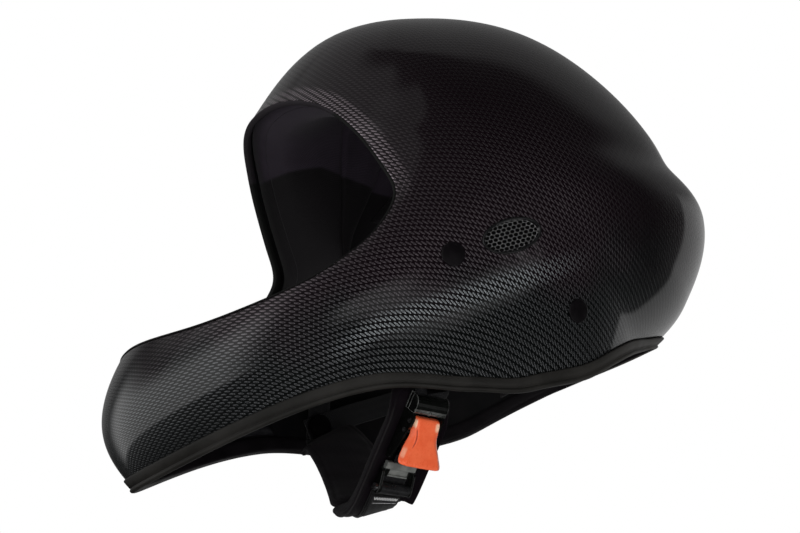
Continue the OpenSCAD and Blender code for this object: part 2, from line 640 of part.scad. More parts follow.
module pawl() {
    y = pawl_axis[0];
    z = pawl_axis[1];
    tip = tooth_top + 0.12;
    color([0.5, 0.5, 0.52])
    at_buckle() difference() {
        union() {
            across(pawl_axis, 2.5, 9);
            side_profile_plate([[y - 4, z - 1], [y - 1, z - 2.4], [y + 4.4, z - 1.8], [y + 6.2, tip], [y + 7.6, tip + 0.3],
                [y + 7.8, z - 0.2], [y + 3, z + 2.1], [y, z + 2.4]], -4.5, 9);
        }
        across(pawl_axis, pin_radius + pin_play, 60);
    }
}
module pawl_pin() {
    color([0.5, 0.5, 0.52]) at_buckle() across(pawl_axis, pin_radius, body_width + 0.6);
}
module pawl_spring() {
    y = pawl_axis[0];
    z = pawl_axis[1];
    color([0.6, 0.6, 0.62])
    at_buckle() side_profile_plate([[2.6, plate_top + 0.1], [6, plate_top + 0.1], [y - 3.2, z - 2.3],
        [y - 3.5, z - 1.9], [5.7, plate_top + 0.5], [2.6, plate_top + 0.5]], -3.5, 7);
}

// Toothed tongue that slides into the buckle, with its grey end, bar and pin
tongue_bottom = plate_top + 0.15;
tongue_top = tongue_bottom + 1.5;
tooth_top = tongue_top + 0.8;
tongue_start = 12;
tongue_stop = 34.8;
first_tooth = tongue_start + 6.5;
teeth = floor((tongue_stop - 2.5 - first_tooth) / tooth_pitch);
module tongue() {
    first = first_tooth;
    saw = [for (i = [0 : teeth - 1]) let (y = first + i * tooth_pitch)
        each [[y, tongue_top], [y + 0.3, tooth_top], [y + tooth_pitch - 0.4, tongue_top]]];
    last = first + teeth * tooth_pitch;
    color([0.35, 0.37, 0.36])
    at_buckle()
        side_profile_plate(concat([[tongue_start, tongue_bottom], [tongue_start, tongue_top]], saw,
            [[last, tongue_top], [tongue_stop, tongue_top], [tongue_stop, tongue_bottom]]),
            -tongue_width / 2, tongue_width);
}
bar_at = [51, 1.7];
bar_radius = 3.4;
module tongue_end() {
    w = body_width - 1;
    y = bar_at[0];
    z = bar_at[1];
    color([0.42, 0.44, 0.43])
    at_buckle() difference() {
        union() {
            translate([-w / 2, tongue_stop + seat_gap, tongue_bottom]) cube([w, 9, 3.2]);
            for (x = [-w / 2 - 1.4, w / 2 - 0.2])
                side_profile_plate([[tongue_stop + 4, tongue_bottom], [y + 1.4, tongue_bottom], [y + 3.4, z - 1.3],
                    [y + 3.4, z + 1.5], [y + 2, z + 2.7], [y - 1.6, z + 2.6],
                    [tongue_stop + 6, tongue_bottom + 3.2]], x, 1.6);
        }
        translate([-w / 2 + 3.4, tongue_stop + 3, tongue_bottom + 1.6]) cube([w - 6.8, 4.4, 3]);
        across(bar_at, pin_radius + pin_play, 60);
    }
}
module strap_bar() {
    w = body_width - 1;
    color([0.03, 0.03, 0.03])
    at_buckle() difference() {
        across(bar_at, bar_radius, w - 0.4 - 2 * seat_gap);
        across(bar_at, pin_radius + pin_play, 60);
    }
}
module bar_pin() {
    w = body_width - 1;
    color([0.6, 0.6, 0.62])
    at_buckle() {
        across(bar_at, pin_radius, w + 3.8);
        translate([w / 2 + 1.7, bar_at[0], bar_at[1]]) rotate([0, 90, 0]) cylinder(r = 2.3, h = 1.6, $fn = 24);
    }
}

outer_shell();
rim_trim();
port_trim();
head_liner();
chin_liner();
brow_pad();
crown_pad();
nape_pad();
neck_roll();
cheek_pad_left();
cheek_pad_right();
vent_frame_left();
vent_frame_right();
vent_mesh_left();
vent_mesh_right();
anchor_bolts();
anchor_nuts();
front_web_left();
front_web_right();
rear_web_left();
rear_web_right();
pivot_stud_left();
pivot_stud_right();
strap_tab_left();
strap_tab_right();
buckle_web();
chin_web();
web_fold();
left_sleeve();
right_sleeve();
buckle_frame();
buckle_cover();
lever();
lever_pin();
pawl();
pawl_pin();
pawl_spring();
tongue();
tongue_end();
strap_bar();
bar_pin();
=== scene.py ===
"""Looks of the full-face helmet: every piece in metres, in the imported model's frame.

Shapes are worked out in millimetres from the same sizes as the solids, then scaled.
"""
import math

import bmesh
import bpy
import numpy as np
from mathutils import Matrix, Vector


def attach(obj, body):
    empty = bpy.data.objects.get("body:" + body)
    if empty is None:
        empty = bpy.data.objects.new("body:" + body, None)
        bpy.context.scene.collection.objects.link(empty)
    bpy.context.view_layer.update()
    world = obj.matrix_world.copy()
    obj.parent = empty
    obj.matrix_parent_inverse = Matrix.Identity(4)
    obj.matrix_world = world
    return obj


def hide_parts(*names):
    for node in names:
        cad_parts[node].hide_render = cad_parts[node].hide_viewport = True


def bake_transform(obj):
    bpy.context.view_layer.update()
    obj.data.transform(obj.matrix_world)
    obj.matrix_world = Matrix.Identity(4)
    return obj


MM = 0.001
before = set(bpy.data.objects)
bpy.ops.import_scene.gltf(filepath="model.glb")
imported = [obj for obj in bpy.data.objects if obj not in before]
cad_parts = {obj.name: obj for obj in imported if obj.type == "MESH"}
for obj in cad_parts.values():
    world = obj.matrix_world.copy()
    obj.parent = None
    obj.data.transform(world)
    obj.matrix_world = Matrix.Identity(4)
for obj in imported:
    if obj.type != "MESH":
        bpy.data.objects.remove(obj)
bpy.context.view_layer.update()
scene = bpy.context.scene


# Shell sizes
HALF_WIDTH = 121.0
SHELL_WALL = 2.4
SEAT_GAP = 0.2
CREASE_DEPTH = 2.2
ROUNDNESS = 2.15
SIDE_PROFILE = [(-60, 2.066), (-35, 2.099), (-20, 2.058), (0, 1.364), (35, 1.128), (65, 1.124), (90, 1.054),
                (115, 1.037), (140, 1.05), (160, 1.107), (175, 1.19), (190, 1.347), (210, 1.289), (235, 1.19)]
CAVITY_HALF_WIDTH = 87.0
CAVITY_PROFILE = [(0, 1.149), (45, 1.195), (90, 1.126), (140, 1.149), (180, 1.195), (215, 1.172), (270, 1.609)]
PORT_EDGE = [(0, -12.5), (19.5, -13.9), (35.1, -13.3), (47.4, -8.9), (55, -0.2), (52.4, 10.7), (39.2, 28.4),
             (0, 38)]
LINER_EDGE = [(0, -21), (22, -21.5), (42, -20), (58, -10), (70, -6), (102, -6), (144, -19), (180, -25)]
RIM_EDGE = [(0, -29.5), (20, -30.5), (42, -35), (63, -44), (82, -49), (108, -50), (144, -46), (180, -38.5)]
# A grid of directions: spokes round the head, and rings from the port's edge (0) past MIDDLE to the neck's
COLUMNS, RINGS, MIDDLE = 70, 18, 13
EDGE_STEPS = 420
PORT_TRIM_HEIGHT, RIM_TRIM_HEIGHT = 3.5, 7.5
PORT_INSET, RIM_INSET = PORT_TRIM_HEIGHT + 2, RIM_TRIM_HEIGHT + 1.5
LINER_GAP = SEAT_GAP + 0.1
LINER_FIRST, LINER_LAST, JOIN_GAP = 11, 59, 0.02
CHIN_FOAM, COMFORT_PAD, CHEEK_PAD = 8.0, 9.0, 28.0
FRONT_ANCHOR, REAR_ANCHOR, VENT_PLACE, VENT_TILT = (66, -17), (101, -36), (83, -15.5), 7.0
VENT_LENGTH, VENT_HEIGHT, FRAME_RING = 35.0, 17.0, 1.5
CAP_DIAMETER = 14.0


# Strap and buckle sizes
WEB_WIDTH, WEB_THICKNESS, Y_WEB_WIDTH = 20.0, 1.5, 14.0
SLEEVE_WIDTH, SLEEVE_THICKNESS, SLEEVE_CUP = 42.0, 8.0, 7.0
TAB_THICKNESS, STUD_HEAD = 1.2, 1.3
TONGUE_WIDTH, LEVER_LENGTH, LEVER_FLARE = 12.0, 23.0, 27.0
TONGUE_STOP, BAR_AT = 34.8, (51.0, 1.7)


# Shell formula

def unit(v):
    return v / np.linalg.norm(v, axis=-1, keepdims=True)


def hermite(p0, m0, p1, m1, t):
    return ((2 * t**3 - 3 * t**2 + 1) * p0 + (t**3 - 2 * t**2 + t) * m0
            + (3 * t**2 - 2 * t**3) * p1 + (t**3 - t**2) * m1)


def stack(*parts):
    """Arrays or numbers side by side along a new last axis."""
    return np.stack(np.broadcast_arrays(*parts), -1)


def smooth_step(x):
    t = np.clip(x, 0, 1)
    return t * t * (3 - 2 * t)


def around(knots, angle):
    """Periodic smooth curve through (angle, value) pairs."""
    a, v = (np.array(c, float) for c in zip(*knots))
    width = (np.roll(a, -1) - a) % 360
    slope = (np.roll(v, -1) - np.roll(v, 1)) / (width + (a - np.roll(a, 1)) % 360)
    out = np.zeros_like(angle)
    for i in range(len(a)):
        d = (angle - a[i]) % 360
        here, j = d < width[i], (i + 1) % len(a)
        out[here] = hermite(v[i], slope[i] * width[i], v[j], slope[j] * width[i], d[here] / width[i])
    return out


def ball(half, profile, power, d):
    """Radius of a rounded body from half its width, and its side profile as shares of that."""
    reach = half * around(profile, np.degrees(np.arctan2(d[..., 2], -d[..., 1])))
    side, flat = np.abs(d[..., 0]) / half, np.hypot(d[..., 1], d[..., 2]) / reach
    return (side**power + flat**power) ** (-1 / power)


def shell_radius(d):
    bearing = np.degrees(np.arctan2(np.abs(d[..., 0]), -d[..., 1]))
    elevation = np.degrees(np.arctan2(d[..., 2], np.hypot(d[..., 0], d[..., 1])))
    x = (elevation - (9 - 7 * smooth_step((bearing - 90) / 80))) / 5
    crease = CREASE_DEPTH * smooth_step((bearing - 88) / 45) * np.exp(-x * x)
    return ball(HALF_WIDTH, SIDE_PROFILE, ROUNDNESS, d) - crease


def shell_point(d):
    return d * shell_radius(d)[..., None]


def shell_normal(d):
    probe = 0.004
    u = unit(np.cross(d, np.where(np.abs(d[..., :1]) < 0.9, [1.0, 0, 0], [0, 1.0, 0])))
    v = np.cross(d, u)
    a = shell_point(unit(d + probe * u)) - shell_point(unit(d - probe * u))
    b = shell_point(unit(d + probe * v)) - shell_point(unit(d - probe * v))
    n = unit(np.cross(a, b))
    return n * np.sign(np.sum(n * d, -1, keepdims=True))


def direction(bearing, elevation):
    b, e = math.radians(bearing), math.radians(elevation)
    return np.array([math.sin(b) * math.cos(e), -math.cos(b) * math.cos(e), math.sin(e)])


def map_points(knots):
    """The loop's knots on a flat map of all directions, seen from the neck."""
    loop = knots + [(-b, e) for b, e in knots[-2:0:-1]]
    b, e = np.radians(loop).T
    far = np.tan((math.pi / 2 - e) / 2)
    return stack(far * np.sin(b), -far * np.cos(b))


def from_map(q):
    k = np.sum(q * q, -1)
    return stack(2 * q[..., 0], 2 * q[..., 1], 1 - k) / (1 + k)[..., None]


def between(points, j, f):
    """Smooth curve through four points, numbered by j, at share f of the way from second to third."""
    p0, p1, p2, p3 = (points[n] for n in j)
    return hermite(p1, (p2 - p0) / 2, p2, (p3 - p1) / 2, f[..., None])


def on_loop(points, i):
    x = i / COLUMNS * len(points)
    j = np.floor(x).astype(int)
    return between(points, [(j + s) % len(points) for s in (-1, 0, 1, 2)], x - j)


PORT_MAP, LINER_MAP, RIM_MAP = map_points(PORT_EDGE), map_points(LINER_EDGE), map_points(RIM_EDGE)


def step_for(a, b, length):
    reach = shell_point(from_map(a + 0.05 * (b - a))) - shell_point(from_map(a))
    return (0.05 * length / np.linalg.norm(reach, axis=-1))[..., None]


def grid_direction(i, k):
    """Direction on spoke i and ring k; both may be fractions."""
    i, k = np.broadcast_arrays(np.asarray(i, float), np.asarray(k, float))
    p, m, r = on_loop(PORT_MAP, i), on_loop(LINER_MAP, i), on_loop(RIM_MAP, i)
    s, z, kk = step_for(p, m, PORT_INSET), step_for(r, m, RIM_INSET), k[..., None]
    upper = np.where(kk <= 1, s * kk, s + (1 - s) * (kk - 1) / (MIDDLE - 1))
    last = RINGS - 1
    lower = np.where(kk >= last, 1 - z * (RINGS - kk), (1 - z) * (kk - MIDDLE) / (last - MIDDLE))
    return from_map(np.where(kk <= MIDDLE, p + upper * (m - p), m + lower * (r - m)))


# Mesh helpers

def new_object(name, data):
    obj = bpy.data.objects.new(name, data)
    scene.collection.objects.link(obj)
    return obj


def make_object(name, points, faces, uvs=None, smooth=True):
    """points in mm, uvs one pair per point."""
    mesh = bpy.data.meshes.new(name)
    mesh.from_pydata((np.asarray(points, float) * MM).tolist(), [], [list(map(int, f)) for f in faces])
    if uvs is not None:
        layer = mesh.uv_layers.new(name="UVMap")
        vertex = np.zeros(len(mesh.loops), int)
        mesh.loops.foreach_get("vertex_index", vertex)
        layer.data.foreach_set("uv", np.asarray(uvs, float)[vertex].ravel())
    mesh.polygons.foreach_set("use_smooth", [smooth] * len(mesh.polygons))
    mesh.validate()
    return new_object(name, mesh)


def fix_normals(obj):
    bm = bmesh.new()
    bm.from_mesh(obj.data)
    bmesh.ops.delete(bm, geom=[v for v in bm.verts if not v.link_faces], context="VERTS")
    bmesh.ops.recalc_face_normals(bm, faces=bm.faces)
    bm.to_mesh(obj.data)
    bm.free()
    return obj


def lengths(points, axis=0):
    """Distance from the first point to each, summed along an axis of the array."""
    steps = np.linalg.norm(np.diff(points, axis=axis), axis=-1)
    return np.insert(np.cumsum(steps, axis), 0, 0, axis)


def turns(steps):
    return np.linspace(0, math.tau, steps, endpoint=False)


def grid_faces(rows, cols, wrap=False, flip=False, base=0):
    k, i = np.meshgrid(np.arange(rows - 1), np.arange(cols if wrap else cols - 1), indexing="ij")
    j = (i + 1) % cols
    here, below = k * cols + base, (k + 1) * cols + base
    quads = stack(here + i, here + j, below + j, below + i).reshape(-1, 4)
    return quads[:, ::-1] if flip else quads


def sweep_mesh(name, loops, uvs=None, closed=False):
    """Skin through cross-section loops, each an (n, 3) array; open sweeps get end caps."""
    loops = np.asarray(loops, float)
    m, n = loops.shape[:2]
    faces = (grid_faces(m + closed, n, wrap=True) % (m * n)).tolist()
    if not closed:
        faces += [list(range(n))[::-1], list(range((m - 1) * n, m * n))]
    return fix_normals(make_object(name, loops.reshape(-1, 3), faces, uvs))


def closed_pad(name, outer, inner):
    """Closed solid between two grids of points, with UVs in mm."""
    rows, cols = outer.shape[:2]
    b = rows * cols
    ids = np.arange(b).reshape(rows, cols)
    ring = np.concatenate([ids[0], ids[1:, -1], ids[-1, -2::-1], ids[-2:0:-1, 0]])
    nxt = np.roll(ring, -1)
    skirt = stack(ring, nxt, nxt + b, ring + b)
    faces = np.vstack([grid_faces(rows, cols), grid_faces(rows, cols, flip=True, base=b), skirt])
    uv = stack(lengths(inner, 1), lengths(inner)).reshape(-1, 2)
    points = np.stack([outer, inner]).reshape(-1, 3)
    return fix_normals(make_object(name, points, faces, np.vstack([uv, uv])))


def frame_of(x, y, z, at):
    m = np.eye(4)
    m[:3] = np.stack([x, y, z, at], 1)
    return m


def frame_on_shell(bearing, elevation, mirror=False):
    """4x4 in mm: z outwards, x level, y up."""
    d = direction(bearing, elevation)
    n = shell_normal(d)
    x = unit(np.cross([0, 0, 1.0], n))
    m = frame_of(x, np.cross(n, x), n, shell_point(d))
    return np.diag([-1.0, 1, 1, 1]) @ m if mirror else m


def place(m, local):
    return np.asarray(local, float) @ m[:3, :3].T + m[:3, 3]


def finish_piece(obj, material, node, body="helmet"):
    obj.data.materials.clear()
    obj.data.materials.append(material)
    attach(obj, body)
    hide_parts(node)
    return obj


def second_material(obj, material, faces):
    """faces holds True for each face that gets it."""
    obj.data.materials.append(material)
    obj.data.polygons.foreach_set("material_index", np.asarray(faces, np.int32))


def point_values(obj, name, values):
    obj.data.attributes.new(name, "FLOAT", "POINT").data.foreach_set("value", values.ravel())


def subdivide(obj, levels):
    soft = obj.modifiers.new("Soft", "SUBSURF")
    soft.levels = soft.render_levels = levels


def bevel(obj, width, segments, angle):
    mod = obj.modifiers.new("Bevel", "BEVEL")
    mod.width = width * MM
    mod.segments = segments
    mod.limit_method = "ANGLE"
    mod.angle_limit = math.radians(angle)
    return obj


# Materials

class Nodes:
    """Short ways to add nodes to a material or world."""

    def __init__(self, owner):
        owner.use_nodes = True
        self.tree = owner.node_tree

    def add(self, kind, inputs=(), **settings):
        node = self.tree.nodes.new("ShaderNode" + kind)
        for key, value in settings.items():
            setattr(node, key, value)
        for key, value in dict(inputs).items():
            if isinstance(value, bpy.types.NodeSocket):
                self.tree.links.new(value, node.inputs[key])
            else:
                node.inputs[key].default_value = value
        return node

    def math(self, operation, a, b=0.0, c=0.0):
        return self.add("Math", {0: a, 1: b, 2: c}, operation=operation).outputs[0]

    def times(self, a, b):
        return self.math("MULTIPLY", a, b)

    def plus(self, a, b):
        return self.math("ADD", a, b)

    def most(self, a, b):
        return self.math("MAXIMUM", a, b)

    def ramp(self, value, low, high, out_low=0.0, out_high=1.0):
        inputs = {"Value": value, "From Min": low, "From Max": high, "To Min": out_low, "To Max": out_high}
        return self.add("MapRange", inputs, interpolation_type="SMOOTHSTEP").outputs[0]

    def vector(self, operation, inputs, output=0):
        return self.add("VectorMath", inputs, operation=operation).outputs[output]

    def split(self, vector):
        return self.add("SeparateXYZ", {0: vector}).outputs


class Look(Nodes):
    """A new material's nodes."""

    def __init__(self, name, color, roughness, **sockets):
        self.material = bpy.data.materials.new(name)
        super().__init__(self.material)
        self.shader = self.tree.nodes["Principled BSDF"]
        for key, value in {"Base_Color": (*color, 1), "Roughness": roughness, **sockets}.items():
            self.shader.inputs[key.replace("_", " ")].default_value = value

    def link(self, output, name):
        self.tree.links.new(output, self.shader.inputs[name])

    def here(self):
        return self.add("TexCoord").outputs["Object"]

    def cloth(self):
        """UVs, in mm or in cells of the weave."""
        return self.add("UVMap", uv_map="UVMap").outputs[0]

    def attribute(self, name):
        return self.add("Attribute", attribute_name=name).outputs["Fac"]

    def noise(self, scale, detail=2.0, roughness=0.5, vector=None):
        inputs = {"Vector": vector or self.here(), "Scale": scale, "Detail": detail, "Roughness": roughness}
        return self.add("TexNoise", inputs).outputs["Fac"]

    def mix(self, factor, a, b):
        a, b = ((*c, 1) if isinstance(c, tuple) else c for c in (a, b))
        return self.add("Mix", {"Factor": factor, 6: a, 7: b}, data_type="RGBA").outputs[2]

    def paint(self, factor, low, high):
        self.link(self.mix(factor, low, high), "Base Color")

    def finish(self, height, strength, distance):
        """Bump of a distance in mm, and the material."""
        node = self.add("Bump", {"Height": height, "Strength": strength, "Distance": distance * MM})
        self.link(node.outputs[0], "Normal")
        return self.material


def laminate_material():
    """Staggered bright dashes of a woven laminate under a glossy clear coat."""
    m = Look("laminate", (0.004, 0.003, 0.004), 0.36, Coat_Weight=1.0, Coat_Roughness=0.04,
             Specular_IOR_Level=0.3)
    cell = m.vector("SUBTRACT", {0: m.vector("FRACTION", {0: m.cloth()}), 1: (0.5, 0.5, 0)})
    turn = {"Vector": cell, "Angle": math.radians(-45)}
    turned = m.add("VectorRotate", turn, rotation_type="Z_AXIS").outputs[0]
    radius = m.vector("LENGTH", {0: m.vector("MULTIPLY", {0: turned, 1: (2.2, 4.9, 0)})}, "Value")
    dash = m.ramp(radius, 1.15, 0.7)
    # Faint tints in the resin: plum over the crown, teal round the jaw
    here = m.here()
    _, back, up = m.split(here)
    cloud = m.times(m.math("SUBTRACT", m.noise(14, 2.0, vector=here), 0.5), 0.12)
    upper = m.ramp(m.plus(up, cloud), -0.085, -0.035)
    resin = m.mix(upper, (0.0007, 0.0012, 0.0013), (0.0036, 0.0011, 0.0025))
    fibre = m.mix(upper, (0.25, 0.26, 0.27), (0.28, 0.235, 0.26))
    # Painted light on the fibres: a silvery painted highlight along the side ridge, where the clear coat is
    # thinned, a paler painted highlight round the upper part of the eye port, and painted shade towards the
    # tail, crown and chin
    ridge = m.plus(m.math("MULTIPLY_ADD", back, 0.154, -0.0565),
                   m.times(m.math("MINIMUM", m.plus(back, 0.101), 0.0), 0.236))
    painted_ridge_highlight = m.ramp(m.math("ABSOLUTE", m.math("SUBTRACT", up, ridge)), 0.0095, 0.0015)
    painted_ridge_highlight = m.times(painted_ridge_highlight, m.times(m.ramp(back, -0.14, -0.10), m.ramp(back, 0.045, -0.015)))
    # Painted shade: the fibres darker towards the tail, the crown and the chin's front
    sunk = m.times(m.ramp(back, 0.095, 0.015, 0.10, 1.0), m.ramp(up, 0.06, -0.04, 0.25, 1.0))
    sunk = m.times(sunk, m.ramp(back, -0.205, -0.155, 0.55, 1.0))
    # Painted highlight: the fibres paler near the upper part of the eye port's edge
    painted_port_highlight = m.ramp(m.attribute("port_way"), 14.0, 8.0)
    sunk = m.most(sunk, m.times(painted_port_highlight, m.ramp(up, -0.02, 0.02, 0.0, 1.9)))
    fibre = m.mix(painted_ridge_highlight, m.vector("SCALE", {0: fibre, "Scale": sunk}), (0.88, 0.94, 0.98))
    m.paint(dash, resin, fibre)
    m.link(m.times(dash, 0.94), "Metallic")
    m.link(m.math("MULTIPLY_ADD", painted_ridge_highlight, -0.85, 1.0), "Coat Weight")
    m.link(m.ramp(dash, 0, 1, 0.5, 0.27), "Roughness")
    return m.finish(m.ramp(radius, 1.5, 0.0), 0.35, 0.25)


def lacquer_material():
    """Plain dark lacquer on the laminate's inner face, faintly printed by the cloth under it."""
    m = Look("inner_lacquer", (0.004, 0.004, 0.0045), 0.62, Specular_IOR_Level=0.3)
    m.paint(m.ramp(m.noise(60, 3.0), 0.3, 0.7), (0.003, 0.003, 0.0035), (0.006, 0.0055, 0.006))
    return m.finish(m.noise(700), 0.3, 0.1)


def rubber_material(name, low, high, painted_tail_light=1.0):
    """Grained rubber, paler towards the tail as painted light; the last argument says how much paler."""
    m = Look(name, high, 0.5, Specular_IOR_Level=0.25)
    cloud = m.noise(55, 3.0)
    # Painted light: paler towards the tail
    pale = m.ramp(m.split(m.here())[1], -0.02, 0.10, 1.0, painted_tail_light)
    tone = m.mix(m.ramp(cloud, 0.3, 0.75), low, high)
    m.link(m.vector("SCALE", {0: tone, "Scale": pale}), "Base Color")
    m.link(m.ramp(cloud, 0.25, 0.75, 0.425, 0.6), "Roughness")
    return m.finish(m.noise(1800), 0.25, 0.06)


def foam_material():
    m = Look("liner_foam", (0.008, 0.008, 0.009), 0.75)
    beads = m.add("TexVoronoi", {"Vector": m.here(), "Scale": 330.0}).outputs["Distance"]
    m.paint(m.ramp(beads, 0.1, 0.7), (0.010, 0.010, 0.011), (0.004, 0.004, 0.005))
    return m.finish(m.ramp(beads, 0.7, 0.0), 0.5, 0.4)


def fabric_material(name, low, high, pitch, sheen, dark=None):
    """Knitted cloth; below the headband's edge, which drops towards the ears, it turns to the dark colour."""
    m = Look(name, high, 0.85, Sheen_Weight=sheen, Sheen_Roughness=0.45, Specular_IOR_Level=0.25)
    across, along, _ = m.split(m.cloth())
    knit = m.times(*(m.math("SINE", m.times(way, math.tau / pitch)) for way in (across, along)))
    height = m.plus(m.times(knit, 0.35), m.times(m.noise(900, 4.0, 0.7), 0.9))
    shade = m.plus(m.times(m.ramp(knit, -1, 1), 0.45), m.times(m.noise(45, 3.0), 0.55))
    cloth = m.mix(m.ramp(shade, 0.15, 0.8), low, high)
    if dark:
        _, back, up = m.split(m.here())
        above = m.plus(up, m.times(m.most(m.plus(back, 0.050), 0.0), 0.35))
        cloth = m.mix(m.ramp(above, 0.0585, 0.0605), dark, cloth)
    m.link(cloth, "Base Color")
    return m.finish(height, 0.6, 0.3)


def webbing_material():
    """Flat woven webbing: herringbone ribs along the length, from UVs in mm (across, along)."""
    m = Look("webbing", (0.012, 0.012, 0.013), 0.62, Sheen_Weight=0.08, Specular_IOR_Level=0.4)
    across, along, _ = m.split(m.cloth())
    zigzag = m.times(m.math("PINGPONG", across, 2.5), 0.9)
    ribs = m.math("SINE", m.times(m.plus(along, zigzag), math.tau / 1.15))
    cords = m.math("SINE", m.times(across, math.tau / 0.83))
    height = m.plus(m.times(ribs, 0.5), m.times(cords, 0.35))
    fuzz = m.ramp(m.noise(1500, 3.0), 0.55, 0.8)
    tone = m.plus(m.times(m.ramp(height, -0.8, 0.8), 0.6), m.times(fuzz, 0.5))
    m.paint(tone, (0.002, 0.002, 0.0025), (0.013, 0.0125, 0.0135))
    return m.finish(height, 0.7, 0.22)


def moulded(name, low, high, roughness, bump=0.12, facets=(), **sockets):
    """Plastic with slight mottling, worn sheen and fine grain; facets are tints keyed to a value on the mesh,
    for painted highlights and painted shade.
    """
    m = Look(name, high, roughness, **sockets)
    color = m.mix(m.ramp(m.noise(140, 4.0), 0.3, 0.72), low, high)
    for start, full, tint in facets:
        part = {"Value": m.attribute("painted_light"), "From Min": start, "From Max": full}
        color = m.mix(m.add("MapRange", part).outputs[0], color, tint)
    m.link(color, "Base Color")
    m.link(m.ramp(m.noise(420, 3.0), 0.3, 0.75, roughness * 0.8, roughness * 1.3), "Roughness")
    return m.finish(m.noise(2600), bump, 0.05)


def metal_material(name, color, roughness):
    m = Look(name, color, roughness, Metallic=1.0)
    along = m.add("Mapping", {"Vector": m.here(), "Scale": (1, 1, 9)}).outputs[0]
    streaks = m.noise(500, 3.0, vector=along)
    m.link(m.ramp(streaks, 0.25, 0.8, roughness * 0.7, roughness * 1.5), "Roughness")
    m.paint(m.ramp(m.noise(90), 0.3, 0.7), tuple(0.8 * c for c in color), color)
    return m.finish(streaks, 0.1, 0.03)


def thread_material():
    m = Look("thread", (0.62, 0.62, 0.62), 0.6, Sheen_Weight=0.3)
    inputs = {"Vector": m.here(), "Scale": 900.0, "Distortion": 2.0}
    wave = m.add("TexWave", inputs, bands_direction="DIAGONAL").outputs["Fac"]
    m.paint(wave, (0.4, 0.4, 0.41), (0.8, 0.8, 0.79))
    return m.finish(wave, 0.5, 0.08)


laminate = laminate_material()
lacquer = lacquer_material()
rubber = rubber_material("edge_rubber", (0.012, 0.0115, 0.0105), (0.019, 0.018, 0.0165), 2.4)
port_rubber = fabric_material("port_binding", (0.013, 0.011, 0.013), (0.023, 0.0195, 0.023), 1.5, 0.0,
                              dark=(0.007, 0.0073, 0.007))
# Darker rubber for the neck rim's inner leg: painted shade for the unlit inside of the shell
painted_shade_rubber = rubber_material("painted_shade_rubber", (0.003, 0.0025, 0.003), (0.006, 0.005, 0.006))
foam = foam_material()
lining = fabric_material("lining_fabric", (0.018, 0.0138, 0.020), (0.036, 0.0275, 0.040), 1.5, 0.05,
                         dark=(0.008, 0.007, 0.008))
sleeve_cloth = fabric_material("sleeve_fabric", (0.0015, 0.001, 0.0015), (0.005, 0.003, 0.0048), 1.1, 0.04)
webbing = webbing_material()
vent_plastic = moulded("vent_plastic", (0.004, 0.004, 0.0045), (0.009, 0.009, 0.0095), 0.25, Coat_Weight=0.6)
vent_wire = metal_material("vent_mesh", (0.96, 0.95, 0.96), 0.38)
cap_plastic = moulded("cap_plastic", (0.003, 0.0025, 0.003), (0.005, 0.004, 0.005), 0.38,
                      Specular_IOR_Level=0.25)
steel = metal_material("steel", (0.5, 0.5, 0.51), 0.28)
dark_steel = metal_material("blackened_steel", (0.06, 0.055, 0.06), 0.4)
buckle_black = moulded("buckle_black", (0.0015, 0.0018, 0.0015), (0.004, 0.0045, 0.004), 0.16, Coat_Weight=0.7)
# The lever's facet tints are painted highlights on its shoulders and corners and painted shade in its groove
lever_orange = moulded("lever_orange", (0.86, 0.125, 0.042), (0.92, 0.16, 0.060), 0.3, 0.3, Coat_Weight=0.4,
                       facets=[(0.3, 1.0, (1.0, 0.62, 0.42)), (-0.3, -1.0, (0.25, 0.02, 0.008))])
tongue_grey = moulded("tongue_grey", (0.09, 0.095, 0.09), (0.17, 0.175, 0.165), 0.35)
bar_black = moulded("bar_black", (0.006, 0.006, 0.0065), (0.013, 0.013, 0.014), 0.3)
# Paler plastic for the cover's bevelled edges, a painted highlight
edge_highlight = moulded("edge_highlight", (0.03, 0.032, 0.03), (0.16, 0.165, 0.16), 0.3)
thread = thread_material()


# Shell

# How many cells of the weave lie between the ear and a place on the flattened side, in decimetres back and
# up, as factors of their powers: the cloth turns and shears where the chin bar runs into the side
POWERS = (1, 0), (0, 1), (2, 0), (1, 1), (0, 2), (3, 0), (1, 2), (0, 3)
WEAVE = [(38.7, 10.2, 2.4, -7.9, 2.6, -1.6, 4.5, -1.3), (-14.3, -30.7, -6.9, 5.9, -2.7, 0.9, 1.2, 1.5)]


def weave_uv(points):
    """Coordinates of the laminate in cells of the weave, one sheet of cloth for each side."""
    psi, phi = np.radians(np.meshgrid(np.arange(0, 361, 2.0), np.linspace(0.01, 90, 181), indexing="ij"))
    d = stack(np.cos(phi), np.sin(phi) * np.cos(psi), np.sin(phi) * np.sin(psi))
    reach = lengths(shell_point(d), 1)
    q = unit(points)
    a = np.degrees(np.arctan2(q[:, 2], q[:, 1])) % 360 / 2
    b = np.degrees(np.arccos(np.clip(np.abs(q[:, 0]), 0, 1))) * 2
    i, j = np.floor(a).astype(int), np.clip(np.floor(b).astype(int), 0, 179)
    f, g = a - i, b - j
    s = ((1 - f) * (1 - g) * reach[i, j] + f * (1 - g) * reach[i + 1, j]
         + (1 - f) * g * reach[i, j + 1] + f * g * reach[i + 1, j + 1])
    back, up = s * np.cos(np.radians(a * 2)) / 100, s * np.sin(np.radians(a * 2)) / 100
    return stack(*(sum(c * back**i * up**j for (i, j), c in zip(POWERS, yarn)) for yarn in WEAVE))


def tilted(x, y, tilt=VENT_TILT):
    c, s = math.cos(math.radians(tilt)), math.sin(math.radians(tilt))
    return x * c - y * s, x * s + y * c


